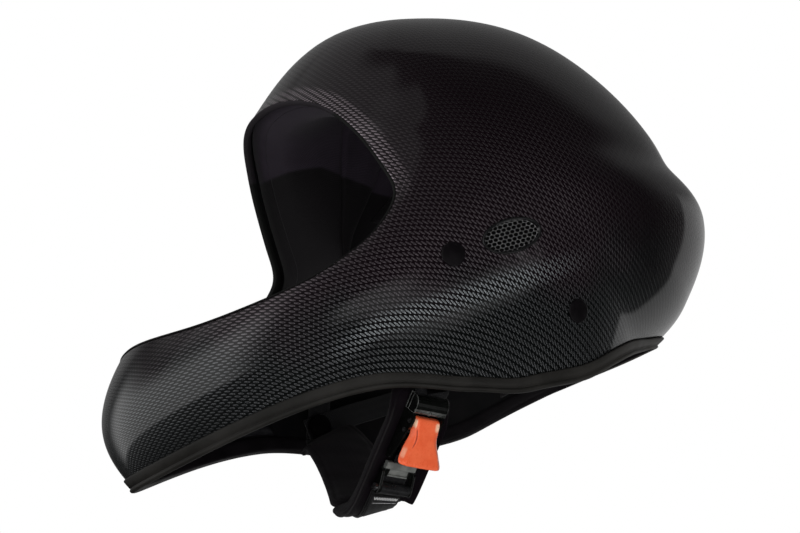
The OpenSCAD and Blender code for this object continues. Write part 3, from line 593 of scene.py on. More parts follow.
def build_shell():
    cols, i = EDGE_STEPS, np.arange(EDGE_STEPS) * COLUMNS / EDGE_STEPS
    parts = (0, 1, 4), (1, MIDDLE, 112), (MIDDLE, RINGS - 1, 36), (RINGS - 1, RINGS, 6)
    k = np.unique(np.concatenate([np.linspace(*part) for part in parts]))
    d = grid_direction(i[None, :], k[:, None])
    outer = shell_point(d)
    inner = outer - SHELL_WALL * shell_normal(d)
    points = np.stack([outer, inner]).reshape(-1, 3)
    rows, b, quads = len(k), len(k) * cols, (len(k) - 1) * cols
    ring = np.arange(cols)
    nxt = (ring + 1) % cols
    faces = np.vstack([
        grid_faces(rows, cols, wrap=True), grid_faces(rows, cols, wrap=True, flip=True, base=b),
        stack(ring, ring + b, nxt + b, nxt), stack(ring, nxt, nxt + b, ring + b) + quads])
    # The ear vents: faces inside the oval go, and the edge of the hole is drawn onto it
    centre = points[faces].mean(1)
    keep = np.ones(len(faces), bool)
    a, h = (size / 2 + FRAME_RING + SEAT_GAP for size in (VENT_LENGTH, VENT_HEIGHT))
    for mirror in (False, True):
        m = frame_on_shell(*VENT_PLACE, mirror=mirror)

        def to_oval(p):
            q = (p - m[:3, 3]) @ m[:3, :3]
            return (*tilted(q[:, 0], q[:, 1], -VENT_TILT), q[:, 2])

        x, y, z = to_oval(centre)
        hole = (np.hypot(x / a, y / h) < 1) & (np.abs(z) < 15)
        keep &= ~hole
        edge = np.intersect1d(faces[hole], faces[keep])
        x, y, z = to_oval(points[edge])
        size = np.hypot(x / a, y / h)
        points[edge] = place(m, stack(*tilted(x / size, y / size), z))
    obj = make_object("shell", points, faces[keep], weave_uv(points))
    point_values(obj, "port_way", np.concatenate([lengths(outer)] * 2))
    finish_piece(fix_normals(obj), laminate, "outer_shell")
    number = np.arange(len(faces))
    second_material(obj, lacquer, ((number >= quads) & (number < 2 * quads))[keep])


# Edge trims

def build_trim(name, ring, inset, section, node, material, inner_leg=None):
    """section is a list of (distance from the edge along the shell, height over the outer skin) in mm."""
    i = np.arange(EDGE_STEPS) * COLUMNS / EDGE_STEPS
    inward = 1 if ring == 0 else -1
    edge = grid_direction(i, float(ring))
    e, n = shell_point(edge), shell_normal(edge)
    run = unit(shell_point(grid_direction(i, ring + 0.02 * inward)) - e)
    loops = []
    for along, height in section:
        if along <= 0:
            loops.append(e + along * run + height * n)
        else:
            d = grid_direction(i, ring + inward * along / inset)
            loops.append(shell_point(d) + height * shell_normal(d))
    obj = sweep_mesh(name, np.stack(loops, 1), closed=True)
    finish_piece(obj, material, node)
    # Faces of the section's inner leg get the darker rubber: painted shade
    if inner_leg:
        second_material(obj, painted_shade_rubber, np.arange(len(obj.data.polygons)) % len(section) >= inner_leg)


def trim_section(height, leg, lip):
    g, o = SEAT_GAP, SEAT_GAP + leg
    low, back, under = -g - leg, -SHELL_WALL - g, -SHELL_WALL - o
    return [(height, g + 0.2), (height + 0.05, o - 0.75), (height - 0.15, o - 0.3), (height - 0.6, o - 0.04),
            (height * 0.6, o), (2.1, o), (1.9, o - 0.35), (1.5, o + lip * 0.25), (1.15, o + lip * 0.8),
            (0.7, o + lip), (0.1, o + lip), (-0.5, o + lip * 0.85), (low + 0.45, o + lip * 0.2), (low, o - 0.5),
            (low, under + 0.9), (low + 0.3, under + 0.35), (-g, under), (height * 0.6, under),
            (height - 0.5, under + 0.05), (height, under + 0.45), (height, back - 0.35), (-g, back - 0.1),
            (-g, g)]


def thin_section(height, leg):
    """Trim whose outer leg thins out to a low lip, so that the weave shows nearly up to the edge."""
    g, w, low = SEAT_GAP, SHELL_WALL, -SEAT_GAP - leg
    under = low - w
    return [(0.5, g), (0.5, g + 0.1), (0.25, g + 0.25), (0, g + 0.3), (-0.4, g + 0.2), (low + 0.25, -0.1),
            (low, -0.6), (low, -w), (low + 0.3, under + 0.3), (-g, under), (height * 0.6, under),
            (height - 0.4, under + 0.1), (height, under + 0.5), (height, -w - g), (-g, -w - g), (-g, g)]


# Fittings on the shell

def build_caps():
    r, steps = CAP_DIAMETER / 2, 48
    profile = np.array([
        (0.01, -8.6), (3, -8.6), (3, 0.08), (r - 0.6, 0.08), (r - 0.15, 0.25), (r, 0.55), (r - 0.02, 0.95),
        (r - 0.25, 1.25), (r - 0.75, 1.42), (r - 1.1, 1.40), (r - 1.5, 1.5), (r - 3.5, 1.78), (1.5, 1.95),
        (0.01, 1.98)])
    out, turn = profile[:, :1], turns(steps)
    loops = stack(out * np.cos(turn), out * np.sin(turn), profile[:, 1:]).reshape(-1, 3)
    places = [(anchor, mirror) for mirror in (False, True) for anchor in (FRONT_ANCHOR, REAR_ANCHOR)]
    points = [place(frame_on_shell(*anchor, mirror=mirror), loops) for anchor, mirror in places]
    faces = [grid_faces(len(profile), steps, wrap=True, base=n * len(loops)) for n in range(len(places))]
    obj = fix_normals(make_object("strap_bolts", np.vstack(points), np.vstack(faces)))
    finish_piece(obj, cap_plastic, "anchor_bolts")


def build_vent(side, mirror=False):
    m = frame_on_shell(*VENT_PLACE, mirror=mirror)
    a, b, o = VENT_LENGTH, VENT_HEIGHT, 2 * FRAME_RING
    section = [(0, -5.7), (0, 0.1), (0.35, 0.55), (0.9, 0.8), (o - 0.7, 0.8), (o - 0.2, 0.6), (o, 0.2),
               (o, -5.7)]
    t = turns(96)[:, None]
    d, z = np.array(section).T
    x, y = tilted((a + d) / 2 * np.cos(t), (b + d) / 2 * np.sin(t))
    ring = sweep_mesh("vent_ring_" + side, place(m, stack(x, y, z)), closed=True)
    finish_piece(ring, vent_plastic, "vent_frame_" + side)

    # Hexagonal cells, their corners set alternately high and low, turned into wires
    points, faces, seen = [], [], {}
    wide, high, depth, crimp = 3.3, 2.15, -1.55, 0.22
    corners = ((0, 2 / 3), (-0.5, 1 / 3), (-0.5, -1 / 3), (0, -2 / 3), (0.5, -1 / 3), (0.5, 1 / 3))
    for r in range(-6, 7):
        for c in range(-8, 9):
            cx, cy = (c + (0.5 if r % 2 else 0)) * wide, r * high
            if (cx / (a / 2 + 0.4)) ** 2 + (cy / (b / 2 + 0.4)) ** 2 > 1:
                continue
            faces.append([])
            for s, (hx, hy) in enumerate(corners):
                x, y = cx + hx * wide, cy + hy * high
                key = (round(x, 2), round(y, 2))
                if key not in seen:
                    seen[key] = len(points)
                    limit = max(1, math.hypot(x / (a / 2 - 0.1), y / (b / 2 - 0.1)))
                    points.append((*tilted(x / limit, y / limit), depth + (crimp if s % 2 else -crimp)))
                faces[-1].append(seen[key])
    mesh = make_object("vent_wires_" + side, place(m, points), faces)
    wire = mesh.modifiers.new("Wires", "WIREFRAME")
    wire.thickness = 0.46 * MM
    wire.use_replace = True
    wire.use_even_offset = False
    subdivide(mesh, 1)
    finish_piece(mesh, vent_wire, "vent_mesh_" + side)


# Lining

def edge_round(x):
    return np.sqrt(1 - (1 - np.clip(x, 0, 1)) ** 2)


def liner_inner(i, k):
    d = grid_direction(i, k)
    skin = shell_radius(d) - (SHELL_WALL + LINER_GAP) / np.sum(shell_normal(d) * d, -1)
    side = np.minimum(i - LINER_FIRST, LINER_LAST - i) / 6
    fill = ((0.3 + 0.7 * edge_round((k - 1) / 1.6)) * (0.35 + 0.65 * edge_round((MIDDLE - k) / 1.2))
            * (0.3 + 0.7 * edge_round(side)))
    return skin - np.maximum(7, (skin - ball(CAVITY_HALF_WIDTH, CAVITY_PROFILE, 2.2, d)) * fill)


def grid_points(spokes, rings):
    """Places on the shell; spokes and rings are first, last and count."""
    i, k = np.meshgrid(np.linspace(*spokes), np.linspace(*rings))
    d = grid_direction(i, k)
    return i, k, d, shell_point(d), shell_normal(d)


def sunk(p, n, d, depth):
    return p - d * (depth / np.sum(n * d, -1))[..., None]


def cushion(u, v):
    """From 0 at the edges of a pad to 1 over its middle."""
    return np.sqrt(edge_round(4 * np.minimum(u, 1 - u)) * edge_round(4 * np.minimum(v, 1 - v)))


def shares(shape):
    v, u = np.meshgrid(*(np.linspace(0, 1, n) for n in shape), indexing="ij")
    return u, v


def wrinkle(points, amount, size, seed):
    """Smooth ripples in mm, the same on every run."""
    rng = np.random.default_rng(seed)
    total = np.zeros(points.shape[:-1])
    for _ in range(9):
        w = rng.normal(size=3) / size
        total += np.sin(points @ w + rng.uniform(0, math.tau))
    return amount * total / 4


def build_liners():
    back = SHELL_WALL + LINER_GAP
    cols, rows = 170, 70
    i, k, d, p, n = grid_points((LINER_FIRST + JOIN_GAP, LINER_LAST - JOIN_GAP, cols), (1, MIDDLE, rows))
    head = closed_pad("head_foam", sunk(p, n, d, back), d * liner_inner(i, k)[..., None])
    finish_piece(head, foam, "head_liner")
    # All but its outer face is covered with the lining's cloth
    second_material(head, lining, np.arange(len(head.data.polygons)) >= (rows - 1) * (cols - 1))
    i, k, d, p, n = grid_points((LINER_LAST - COLUMNS, LINER_FIRST, 110), (1, RINGS - 1, 60))
    depth = back + 2 + (CHIN_FOAM - 2) * cushion(*shares(i.shape))
    chin = closed_pad("chin_foam", p - back * n, p - depth[..., None] * n)
    finish_piece(chin, foam, "chin_liner")


def fabric_pad(name, outer, inner, node, fill, seed, seam_rows=(), seam_cols=()):
    """A padded piece: crowned inner face with ripples and sewn channels."""
    u, v = shares(inner.shape[:2])
    inside = cushion(u, v)
    move = wrinkle(inner, 0.45, 11.0, seed) * inside
    for share, seams, width in ((v, seam_rows, 0.022), (u, seam_cols, 0.014)):
        for at in seams:
            move += 1.9 * np.exp(-(((share - at) / width) ** 2)) * inside
    obj = closed_pad(name, outer, inner + unit(outer - inner) * (move + 0.5)[..., None])
    finish_piece(obj, lining, node)


def liner_pad(name, a, b, c, e, node, **settings):
    """Pad on the head's foam, from spoke a to b and ring c to e."""
    i, k, d, *_ = grid_points((a, b, 96), (c, e, 60))
    base = liner_inner(i, k) - SEAT_GAP
    deep = base - 1 - (COMFORT_PAD - 1) * cushion(*shares(i.shape))
    fabric_pad(name, d * base[..., None], d * deep[..., None], node, 0.6, **settings)


def shell_pad(name, spokes, rings, back, least, thick, node, fill, seed, **seams):
    """Pad whose back lies at a depth below the shell, from its least to its full thickness."""
    i, _, d, p, n = grid_points(spokes, rings)
    deep = back + least + thick * cushion(*shares(i.shape))
    fabric_pad(name, sunk(p, n, d, back), sunk(p, n, d, deep), node, fill, seed, **seams)


def build_pads():
    liner_pad("brow_padding", 18, 52, 1, 4, "brow_pad", seam_rows=(0.5,), seed=3)
    liner_pad("crown_padding", 27, 43, 5, 9, "crown_pad", seam_rows=(0.35, 0.65), seam_cols=(0.5,), seed=4)
    liner_pad("nape_padding", 28, 42, 10, 13, "nape_pad", seam_cols=(0.33, 0.67), seed=5)
    back, first = SHELL_WALL + LINER_GAP, MIDDLE + 0.06
    shell_pad("neck_padding", (27, COLUMNS - 27, 100), (first, RINGS - 1, 60), back, 3, COMFORT_PAD + 3,
              "neck_roll", 0.8, 6, seam_cols=(0.25, 0.5, 0.75))
    back += CHIN_FOAM + SEAT_GAP
    for side, a, b in (("left", 7, 17), ("right", -7, -17)):
        shell_pad("cheek_padding_" + side, (a, b, 80), (first, MIDDLE + 2.2, 50), back, 4, CHEEK_PAD - 4,
                  "cheek_pad_" + side, 0.75, 7, seam_rows=(0.5,))


# Webbing

def band_loops(points, normals, width, thick):
    """Rounded-edge band sections along the points; each keeps its normal across the width."""
    points, normals = np.asarray(points, float), np.asarray(normals, float)
    t = unit(np.gradient(points, axis=0))
    side = unit(np.cross(t, normals))
    m = unit(np.cross(side, t))
    half, h = width / 2, thick / 2
    flat, edge = np.linspace(-half + 0.5, half - 0.5, 15), np.array([half - 0.15, half, half - 0.15])
    step = np.array([h * 0.75, 0, -h * 0.75])
    xs = np.concatenate([flat, edge, flat[::-1], -edge])
    zs = np.concatenate([flat * 0 - h, -step, flat * 0 + h, step])
    loops = points[:, None] + side[:, None] * xs[None, :, None] + m[:, None] * zs[None, :, None]
    return loops, stack(xs + half, lengths(points)[:, None]).reshape(-1, 2)


def resample(points, normals, step=1.0):
    run = lengths(points)
    s = np.linspace(0, run[-1], max(4, int(run[-1] / step)))
    points, normals = (stack(*(np.interp(s, run, c) for c in a.T)) for a in (points, normals))
    return points, unit(normals)


STUD = np.array([0.8446, -0.5785, -0.7934]) * HALF_WIDTH
FRONT_LAYER = STUD[0] - STUD_HEAD - SEAT_GAP
REAR_LAYER = FRONT_LAYER - WEB_THICKNESS - SEAT_GAP
TAB_LAYER = REAR_LAYER - WEB_THICKNESS - SEAT_GAP
WEB_X = TAB_LAYER - TAB_THICKNESS - SEAT_GAP - WEB_THICKNESS
SKIN_X = WEB_X - SEAT_GAP


def y_web(name, anchor, layer, node, mirror):
    d = direction(*anchor)
    n = shell_normal(d)
    a = shell_point(d) - (SHELL_WALL + SEAT_GAP + 1 + WEB_THICKNESS / 2) * n
    b = np.array([layer - WEB_THICKNESS / 2, STUD[1], STUD[2]])
    ta, tb = unit((b - a) - ((b - a) @ n) * n), unit((b - a) * [0, 1, 1])
    reach = np.linalg.norm(b - a) - 20
    t = np.linspace(0, 1, 40)[:, None]
    points = np.vstack([a - 8 * ta, hermite(a + 10 * ta, reach * ta, b - 11 * tb, reach * tb, t), b + 8 * tb])
    turn = np.vstack([0, smooth_step(t), 1])
    points, normals = resample(points, unit(n + turn * (np.array([1.0, 0, 0]) - n)))
    if mirror:
        points, normals = points * [-1, 1, 1], normals * [-1, 1, 1]
    loops, uv = band_loops(points, normals, Y_WEB_WIDTH, WEB_THICKNESS)
    finish_piece(sweep_mesh(name, loops, uv), webbing, node)


BUCKLE_TOP = HALF_WIDTH * np.array([0.7438, -0.6364, -0.9876])
BUCKLE_RUN = unit(np.array([-0.54, -0.37, -0.76]))
OUTWARD = np.array([0.78, 0.11, -0.61])
BUCKLE_FACE = unit(OUTWARD - (OUTWARD @ BUCKLE_RUN) * BUCKLE_RUN)
BUCKLE = frame_of(np.cross(BUCKLE_RUN, BUCKLE_FACE), BUCKLE_RUN, BUCKLE_FACE, BUCKLE_TOP)
PLATE_BOTTOM, PLATE_TOP = -3.0, -1.5
SLEEVE_SKIN = PLATE_BOTTOM - SEAT_GAP


def in_buckle(x, y, z):
    return place(BUCKLE, (x, y, z))


# Points on the chin strap from the left stud to the right one, and the way its outer side faces
CHIN_LINE = [
    ((SKIN_X, STUD[1] - 1, STUD[2] - 5), (1, 0, 0)),
    ((SKIN_X - 0.4, STUD[1] - 3, STUD[2] - 13), (1, 0, 0)),
    (in_buckle(0, -2, SLEEVE_SKIN - 0.3), BUCKLE_FACE),
    (in_buckle(0, 26, SLEEVE_SKIN - 0.5), BUCKLE_FACE),
    (in_buckle(0, 55, SLEEVE_SKIN - 1), BUCKLE_FACE),
    *((HALF_WIDTH * np.array(at), way) for at, way in (
        ((0.378, -0.832, -1.37), (0.6, 0.08, -0.8)), ((0.208, -0.798, -1.366), (0.08, 0, -1)),
        ((0.008, -0.732, -1.325), (-0.3, 0, -0.95)), ((-0.231, -0.653, -1.223), (-0.5, 0, -0.86)),
        ((-0.463, -0.595, -1.074), (-0.62, 0, -0.78)), ((-0.645, -0.57, -0.95), (-0.75, 0, -0.66)))),
    ((1.8 - SKIN_X, STUD[1] - 1.5, STUD[2] - 11), (-1, 0, 0)),
    ((-SKIN_X, STUD[1] - 0.5, STUD[2] - 3), (-1, 0, 0)),
]


def chin_at(ts, lift):
    """Points and normals on the chin strap's line, lifted off the sleeves' outer side."""
    knots, normals = (np.array(c, float) for c in zip(*CHIN_LINE))
    last = len(knots) - 1
    j = np.minimum(np.floor(ts).astype(int), last - 1)
    f = np.asarray(ts) - j
    n = unit((1 - f[:, None]) * normals[j] + f[:, None] * normals[j + 1])
    return between(knots, [np.clip(j + s, 0, last) for s in (-1, 0, 1, 2)], f) + lift * n, n


def finish_soft(obj, material, node=None):
    """A soft piece: it gets its material, hides the CAD node it stands for, and has its place baked into its
    mesh.
    """
    obj.data.materials.append(material)
    if node:
        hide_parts(node)
    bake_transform(obj)


def soft_band(name, ts, lift, node):
    loops, uv = band_loops(*resample(*chin_at(ts, lift)), WEB_WIDTH, WEB_THICKNESS)
    finish_soft(sweep_mesh(name, loops, uv), webbing, node)


def build_webs():
    for side, mirror in (("_left", False), ("_right", True)):
        y_web("front_strap" + side, FRONT_ANCHOR, FRONT_LAYER, "front_web" + side, mirror)
        y_web("rear_strap" + side, REAR_ANCHOR, REAR_LAYER, "rear_web" + side, mirror)
    half = WEB_THICKNESS / 2
    knots = np.array([[WEB_X + half, STUD[1] - 1, STUD[2] - 7.5], [WEB_X + half, STUD[1] - 2, STUD[2] - 14],
                      in_buckle(0, -6.5, -0.9), in_buckle(0, -1.2, -0.5)])
    normals = np.array([[1, 0, 0], [1, 0, 0], BUCKLE_FACE, BUCKLE_FACE])
    loops, uv = band_loops(*resample(knots, normals, 0.6), WEB_WIDTH, WEB_THICKNESS)
    finish_piece(sweep_mesh("buckle_strap", loops, uv), webbing, "buckle_web", "chin_strap")
    lift = SEAT_GAP + half
    soft_band("chin_strap_web", np.linspace(3.6, 11.3, 200), lift + 0.1, "chin_web")
    fold_lift = lift + WEB_THICKNESS + 2.5 * SEAT_GAP
    soft_band("stitched_fold", np.linspace(4.1, 5.05, 50), fold_lift, "web_fold")
    stitch_rows(fold_lift + half)


def stitch_rows(lift):
    """A bold zigzag row of stitches across the folded webbing, and a finer row behind it."""
    count, half, rings = 18, 8.3, 7
    points, faces = [], []
    for row_t, swing, thick in ((4.19, 1.15, 0.15), (4.38, 0.15, 0.06)):
        p, n = chin_at([row_t, row_t + 0.02], lift)
        t, n0 = unit(p[1] - p[0]), n[0]
        side = unit(np.cross(t, n0))
        path = [p[0] + half * (2 * s / count - 1) * side + (swing if s % 2 else -swing) * t
                for s in range(count + 1)]
        for a, b in zip(path, path[1:]):
            w = np.cross(n0, unit(b - a)) * thick
            base = len(points)
            for q in np.linspace(0, 1, rings):
                c = a + (b - a) * (0.06 + 0.88 * q)
                arch = math.sin(math.pi * q)
                wide, high, low = w * (0.55 + 0.45 * arch), n0 * (0.16 + 0.22 * arch), n0 * 0.1
                points += [c + wide - low, c + 0.6 * wide + high, c - 0.6 * wide + high, c - wide - low]
            faces += grid_faces(rings, 4, base=base).tolist()
    finish_soft(fix_normals(make_object("stitches", points, faces)), thread)


def sleeve(name, t0, t1, node, seed):
    ts = np.linspace(t0, t1, 110)
    points, normals = chin_at(ts, 0)
    cup = SLEEVE_CUP * smooth_step((ts - 1.8) / 0.8) * smooth_step(5.3 - ts)
    t = unit(np.gradient(points, axis=0))
    side = unit(np.cross(t, normals))
    m = unit(np.cross(side, t))
    x = np.linspace(0, 1, len(points))
    share = 0.42 + 0.58 * edge_round(np.minimum(x, 1 - x) * 11)
    a = turns(72)
    c, s = np.cos(a), np.sin(a)
    across = np.sign(c) * np.abs(c) ** 0.62
    through = np.sign(s) * np.abs(s) ** 0.8
    # Sewn hem along both edges, and soft folds across where the sleeve bends
    hem = 1 - 0.16 * np.exp(-(((np.abs(across) - 0.82) / 0.05) ** 2))
    h = SLEEVE_THICKNESS * share[:, None] * hem
    curl = np.clip((np.abs(across) - 0.55) / 0.45, 0, 1) ** 2
    loops = (points[:, None] + side[:, None] * (SLEEVE_WIDTH / 2 * share[:, None] * across)[..., None]
             + m[:, None] * (h / 2 * through - SLEEVE_THICKNESS / 2 + cup[:, None] * curl)[..., None])
    ripple = wrinkle(loops, 0.42, 5.5, seed) * np.clip(0.9 - through, 0, 1)
    loops = loops + m[:, None] * ripple[..., None]
    uv = stack(a * SLEEVE_WIDTH / math.pi, lengths(points)[:, None]).reshape(-1, 2)
    finish_soft(sweep_mesh(name, loops, uv), sleeve_cloth, node)


# Buckle

BODY_WIDTH = 2 * (TONGUE_WIDTH / 2 + 3.5 + 1.5)


def rect(y0, z0, y1, z1):
    return [(y0, z0), (y1, z0), (y1, z1), (y0, z1)]


def plate(outline, x0, x1):
    """Outline of (y, z) points drawn from x0 to x1 in the buckle's frame."""
    n = len(outline)
    points = [(x, y, z) for x in (x0, x1) for y, z in outline]
    faces = grid_faces(2, n, wrap=True).tolist() + [list(range(n))[::-1], list(range(n, 2 * n))]
    return fix_normals(make_object("part", place(BUCKLE, points), faces, smooth=False))


def join(name, parts):
    bm = bmesh.new()
    for p in parts:
        bm.from_mesh(p.data)
        bpy.data.objects.remove(p)
    mesh = bpy.data.meshes.new(name)
    bm.to_mesh(mesh)
    bm.free()
    return new_object(name, mesh)


def build_cover():
    w = (BODY_WIDTH + 0.6) / 2
    front, back, slot = -8, 2, WEB_THICKNESS / 2 + 0.5
    slot_low, slot_high = -0.9 - slot, -0.9 + slot
    top = [(back, slot_high), (back, 6.0), (1.6, 6.6), (0.8, 6.95), (0.2, 6.5), (-0.3, 6.5), (-0.7, 7),
           (-2.8, 7.0), (-4.6, 6.55), (-6.1, 5.7), (-7.4, 4.4), (front, 3.0), (front, slot_high)]
    notch = [(-0.4, 6.4), (2.3, 3.0), (2.3, 6.2), (1.0, 7.3), (-0.5, 7.3)]
    side, inner = rect(front, slot_low, back, slot_high), WEB_WIDTH / 2 + 0.6
    web_stop = rect(-0.8, slot_low, back, slot_high)
    obj = join("buckle_top", [
        plate(top, -w, w), plate(rect(front, PLATE_BOTTOM, back, slot_low), -w, w), plate(side, -w, -inner),
        plate(side, inner, w), plate(web_stop, -w + 1, w - 1), plate(notch, -0.55, 0.55)])
    finish_piece(bevel(obj, 0.22, 3, 25), buckle_black, "buckle_cover", "chin_strap")
    # Its edges get a paler plastic as a painted highlight
    obj.data.materials.append(edge_highlight)
    obj.modifiers["Bevel"].material = 1


def build_lever():
    """Wedge with spread sides, a scooped waist, facetted shoulders and a flared, lifted end."""
    end = 7 + LEVER_LENGTH
    flare = LEVER_FLARE / 2
    # y, half width of the top, half width below, top, bottom
    stations = [(3.5, 6.6, 7.4, 7.6, 4.6), (4.0, 7.4, 8.4, 8.5, 4.0), (5.2, 8.1, 9.0, 9.3, 3.4),
                (8.4, 8.2, 9.1, 10.3, 3.1), (10.6, 8.0, 9.1, 11.0, 6.0), (13.0, 7.4, 9.3, 11.9, 7.4),
                (15.5, 7.4, 10.0, 12.9, 8.2), (18.5, 8.4, 11.4, 14.0, 9.0),
                (22.0, flare - 3.2, flare - 0.6, 15.2, 10.3), (25.5, flare - 2.0, flare + 0.8, 16.6, 12.0),
                (end - 1.8, flare - 1.1, flare + 1.7, 17.7, 13.6),
                (end - 0.5, flare - 1.4, flare + 1.2, 17.8, 14.4), (end, flare - 2.2, flare + 0.2, 17.4, 15.2)]
    loops = []
    for y, w, wide, top, low in stations:
        # A groove parts the top face from the spread side between the shoulders and the free end
        groove = 0.55 * math.exp(-(((y - 12.5) / 6.5) ** 2))
        side = [(wide - 0.3, low), (wide, low + 0.3), (wide - 0.05, low + 1.0),
                ((w + wide) / 2, (top + low + 1) / 2 + 0.25), (w + 0.15, top - 0.7),
                (w - 0.35 - groove, top - 0.15 - 0.6 * groove), (w - 0.9 - groove, top - 0.35 * groove),
                (w - 1.5 - groove, top + 0.05)]
        row = [(-0.45 * w, low), (0, low), (0.45 * w, low), *side, (0.4 * w, top + 0.1), (0, top + 0.12),
               (-0.4 * w, top + 0.1), *((-x, z) for x, z in side[::-1])]
        loops.append([(x, y, z) for x, z in row])
    obj = sweep_mesh("release_lever", place(BUCKLE, loops))
    # By station and point of its section: painted highlights on the shoulders and the flared corners, painted
    # shade in the groove
    painted_light = np.zeros((len(stations), len(loops[0])))
    painted_light[2:4, [5, 6, 7, 14, 15, 16]] = 1
    painted_light[8:10, [5, 6]] = 0.6
    painted_light[4:8, 8] = -1
    point_values(obj, "painted_light", painted_light)
    subdivide(obj, 2)
    finish_piece(obj, lever_orange, "lever", "buckle_lever")


def build_tongue_end():
    w = (BODY_WIDTH - 1) / 2
    low, a = PLATE_TOP + 0.15, TONGUE_STOP + SEAT_GAP
    floor, top, wall, end = low + 1.4, low + 3.2, a + 4.4, a + 9
    y, z = BAR_AT
    front = [(a, low), (wall, low), (wall, top - 0.6), (a + 3.9, top), (a + 0.5, top), (a, top - 0.5)]
    back = [(a + 7.9, floor), (end, floor), (end, top - 0.9), (a + 7.9, top - 0.6)]
    cheek = [(wall, floor), (end, floor), (end, top - 0.8), (wall, top - 0.1)]
    ear = [(a + 4, low), (y + 1.4, low), (y + 2.8, z - 2.0), (y + 3.3, z - 0.9), (y + 3.3, z + 1),
           (y + 2.7, z + 2.1), (y + 1.4, z + 2.7), (y, z + 2.8), (y - 1.8, z + 2.5), (a + 6, top)]
    pale = [plate(front, -w, w), plate(rect(wall, low, end, floor), -w, w), plate(back, -w + 3.4, w - 3.4)]
    black = [plate(cheek, x, x + 3.4) for x in (-w, w - 3.4)]
    black += [plate(ear, x, x + 1.6) for x in (-w - 1.4, w - 0.2)]
    is_black = [part in black for part in pale + black for _ in part.data.polygons]
    obj = join("tongue_tip", pale + black)
    finish_piece(bevel(obj, 0.22, 2, 25), tongue_grey, "tongue_end", "buckle_tongue")
    second_material(obj, buckle_black, is_black)


def dress_cad_nodes():
    """CAD pieces whose shape is right keep it, with softened edges and a real material."""
    wanted = [(steel, {"lever_pin": 0.15, "pawl": 0.12, "pawl_pin": 0.15, "pawl_spring": 0.03, "bar_pin": 0.5}),
              (dark_steel, {"tongue": 0.1, "anchor_nuts": 0.3, "pivot_stud_left": 0.3, "pivot_stud_right": 0.3,
                            "strap_tab_left": 0.2, "strap_tab_right": 0.2}),
              (buckle_black, {"buckle_frame": 0.25}), (bar_black, {"strap_bar": 0.3})]
    for material, pieces in wanted:
        for name, width in pieces.items():
            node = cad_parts[name]
            node.data.materials.clear()
            node.data.materials.append(material)
            bevel(node, width, 3, 30)


# Studio

# Soft windows of light round the object: azimuths (0 = in front of the chin, 90 = wearer's left),
# elevations, soft edges in degrees (sides, bottom, top) and brightness, 1 being white paper
WINDOWS = [(-62, 55, -11.5, 30, 22, 3, 18, 0.80), (-125, 62, 44, 78, 20, 12, 12, 0.16),
           (-10, 82, 30, 60, 5, 8, 10, 0.14), (84, 123, -7, -1, 8, 4, 4, 0.42),
           (85, 145, -58, -32, 4, 4, 8, 0.62)]
BACKDROPS = [(-171, -112, -48, 14, 5, 8, 18, 0.42), (-192, -78, 5, 85, 30, 20, 10, 0.155)]
AMBIENT = 0.012
FLOOR_HEIGHT, FLOOR_RADIUS, FLOOR_GLOW = -1.9, 7.0, 0.55
CAMERA_AZIMUTH, CAMERA_ELEVATION, CAMERA_ROLL, CAMERA_DISTANCE = 66.7, -9.8, 12.0, 1.7
CAMERA_TARGET, SENSOR, FOCAL_PIXELS, PICTURE_WIDTH = (0, -0.035, -0.020), 36.0, 2805, 800


def studio_world():
    """Pale behind the object for the camera, soft windows for reflections, dim elsewhere."""
    scene.world = bpy.data.worlds.new("studio")
    n = Nodes(scene.world)
    n.tree.nodes.clear()
    ray = n.split(n.add("TexCoord").outputs["Generated"])
    elevation = n.math("DEGREES", n.math("ARCSINE", ray[2]))
    azimuth = n.math("DEGREES", n.math("ARCTAN2", ray[0], n.times(ray[1], -1.0)))

    def window(az0, az1, el0, el1, soft, soft_low, soft_high, brightness):
        middle, half = (az0 + az1) / 2, (az1 - az0) / 2
        turn = n.math("ABSOLUTE", n.math("WRAP", n.math("SUBTRACT", azimuth, middle), 180.0, -180.0))
        side = n.ramp(turn, half + soft / 2, half - soft / 2)
        both = n.times(n.ramp(elevation, el0 - soft_low / 2, el0 + soft_low / 2),
                       n.ramp(elevation, el1 + soft_high / 2, el1 - soft_high / 2))
        return n.times(n.times(side, both), brightness)

    light = n.plus(window(*WINDOWS[0]), AMBIENT)
    for w in WINDOWS[1:]:
        light = n.plus(light, window(*w))
    path = n.add("LightPath").outputs
    behind = n.times(path["Is Glossy Ray"], n.most(*(window(*w) for w in BACKDROPS)))
    seen = n.most(path["Is Camera Ray"], path["Is Transmission Ray"])
    strength = n.most(n.most(light, behind), seen)
    background = n.add("Background", {"Color": (1, 1, 1, 1), "Strength": strength})
    n.add("OutputWorld", {0: background.outputs[0]})


def softbox(name, azimuth, elevation, distance, strength, size=2.0):
    """A soft light on cloth, rubber and plastic that the clear coat doesn't mirror; 1 is white paper."""
    data = bpy.data.lights.new(name, "AREA")
    data.shape = "RECTANGLE"
    data.size = data.size_y = size
    data.energy = strength * size * size * math.pi
    obj = new_object(name, data)
    back = Vector(direction(azimuth, elevation))
    obj.location = Vector((0, -0.03, -0.03)) + back * distance
    obj.rotation_euler = back.to_track_quat("Z", "Y").to_euler()
    obj.visible_glossy = False


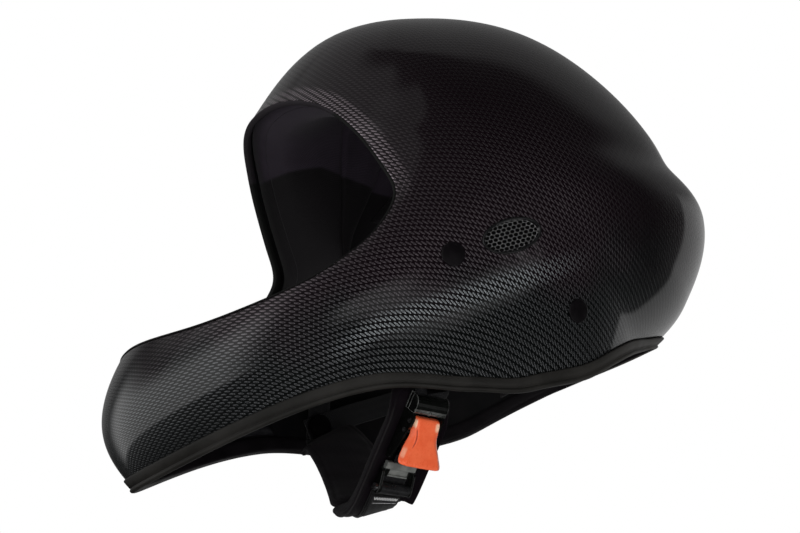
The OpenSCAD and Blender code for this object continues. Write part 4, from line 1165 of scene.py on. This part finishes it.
def build_floor():
    mesh = bpy.data.meshes.new("floor")
    bm = bmesh.new()
    bmesh.ops.create_circle(bm, cap_ends=True, segments=96, radius=FLOOR_RADIUS)
    for v in bm.verts:
        v.co.z = FLOOR_HEIGHT
    bm.to_mesh(mesh)
    bm.free()
    floor = new_object("floor", mesh)
    # Pale to the camera without more light on the object; the lamps' share of it still shows the shadow
    m = Look("floor", (0.86, 0.86, 0.86), 0.9, Emission_Color=(1, 1, 1, 1))
    m.link(m.times(m.add("LightPath").outputs["Is Camera Ray"], FLOOR_GLOW), "Emission Strength")
    m.paint(m.ramp(m.noise(3.0), 0.3, 0.7), (0.84, 0.84, 0.84), (0.88, 0.88, 0.88))
    mesh.materials.append(m.material)
    floor.visible_glossy = False


def build_camera():
    data = bpy.data.cameras.new("camera")
    data.sensor_width = SENSOR
    data.lens = FOCAL_PIXELS * SENSOR / PICTURE_WIDTH
    data.clip_start, data.clip_end = 0.05, 50
    scene.camera = new_object("camera", data)
    back, level = direction(CAMERA_AZIMUTH, CAMERA_ELEVATION), direction(CAMERA_AZIMUTH + 90, 0)
    up = np.cross(back, level)
    c, s = math.cos(math.radians(CAMERA_ROLL)), math.sin(math.radians(CAMERA_ROLL))
    m = frame_of(level * c - up * s, level * s + up * c, back, np.array(CAMERA_TARGET) + CAMERA_DISTANCE * back)
    scene.camera.matrix_world = Matrix(m.tolist())


build_camera()
build_shell()
build_trim("neck_rim", RINGS, RIM_INSET, trim_section(RIM_TRIM_HEIGHT, 1.5, 1.1), "rim_trim", rubber, 13)
build_trim("port_rim", 0, PORT_INSET, thin_section(PORT_TRIM_HEIGHT, 0.7), "port_trim", port_rubber)
build_caps()
build_vent("left")
build_vent("right", mirror=True)
build_liners()
build_pads()
build_webs()
sleeve("padded_sleeve_left", 1.6, 6.6, "left_sleeve", 11)
sleeve("padded_sleeve_right", 6.75, 10.8, "right_sleeve", 12)
build_cover()
build_lever()
build_tongue_end()
dress_cad_nodes()
studio_world()
softbox("fill_low", 78, -24, 2.2, 3.1)
softbox("fill_high", -10, 48, 2.4, 1.8)
build_floor()
scene.view_settings.view_transform = "Standard"
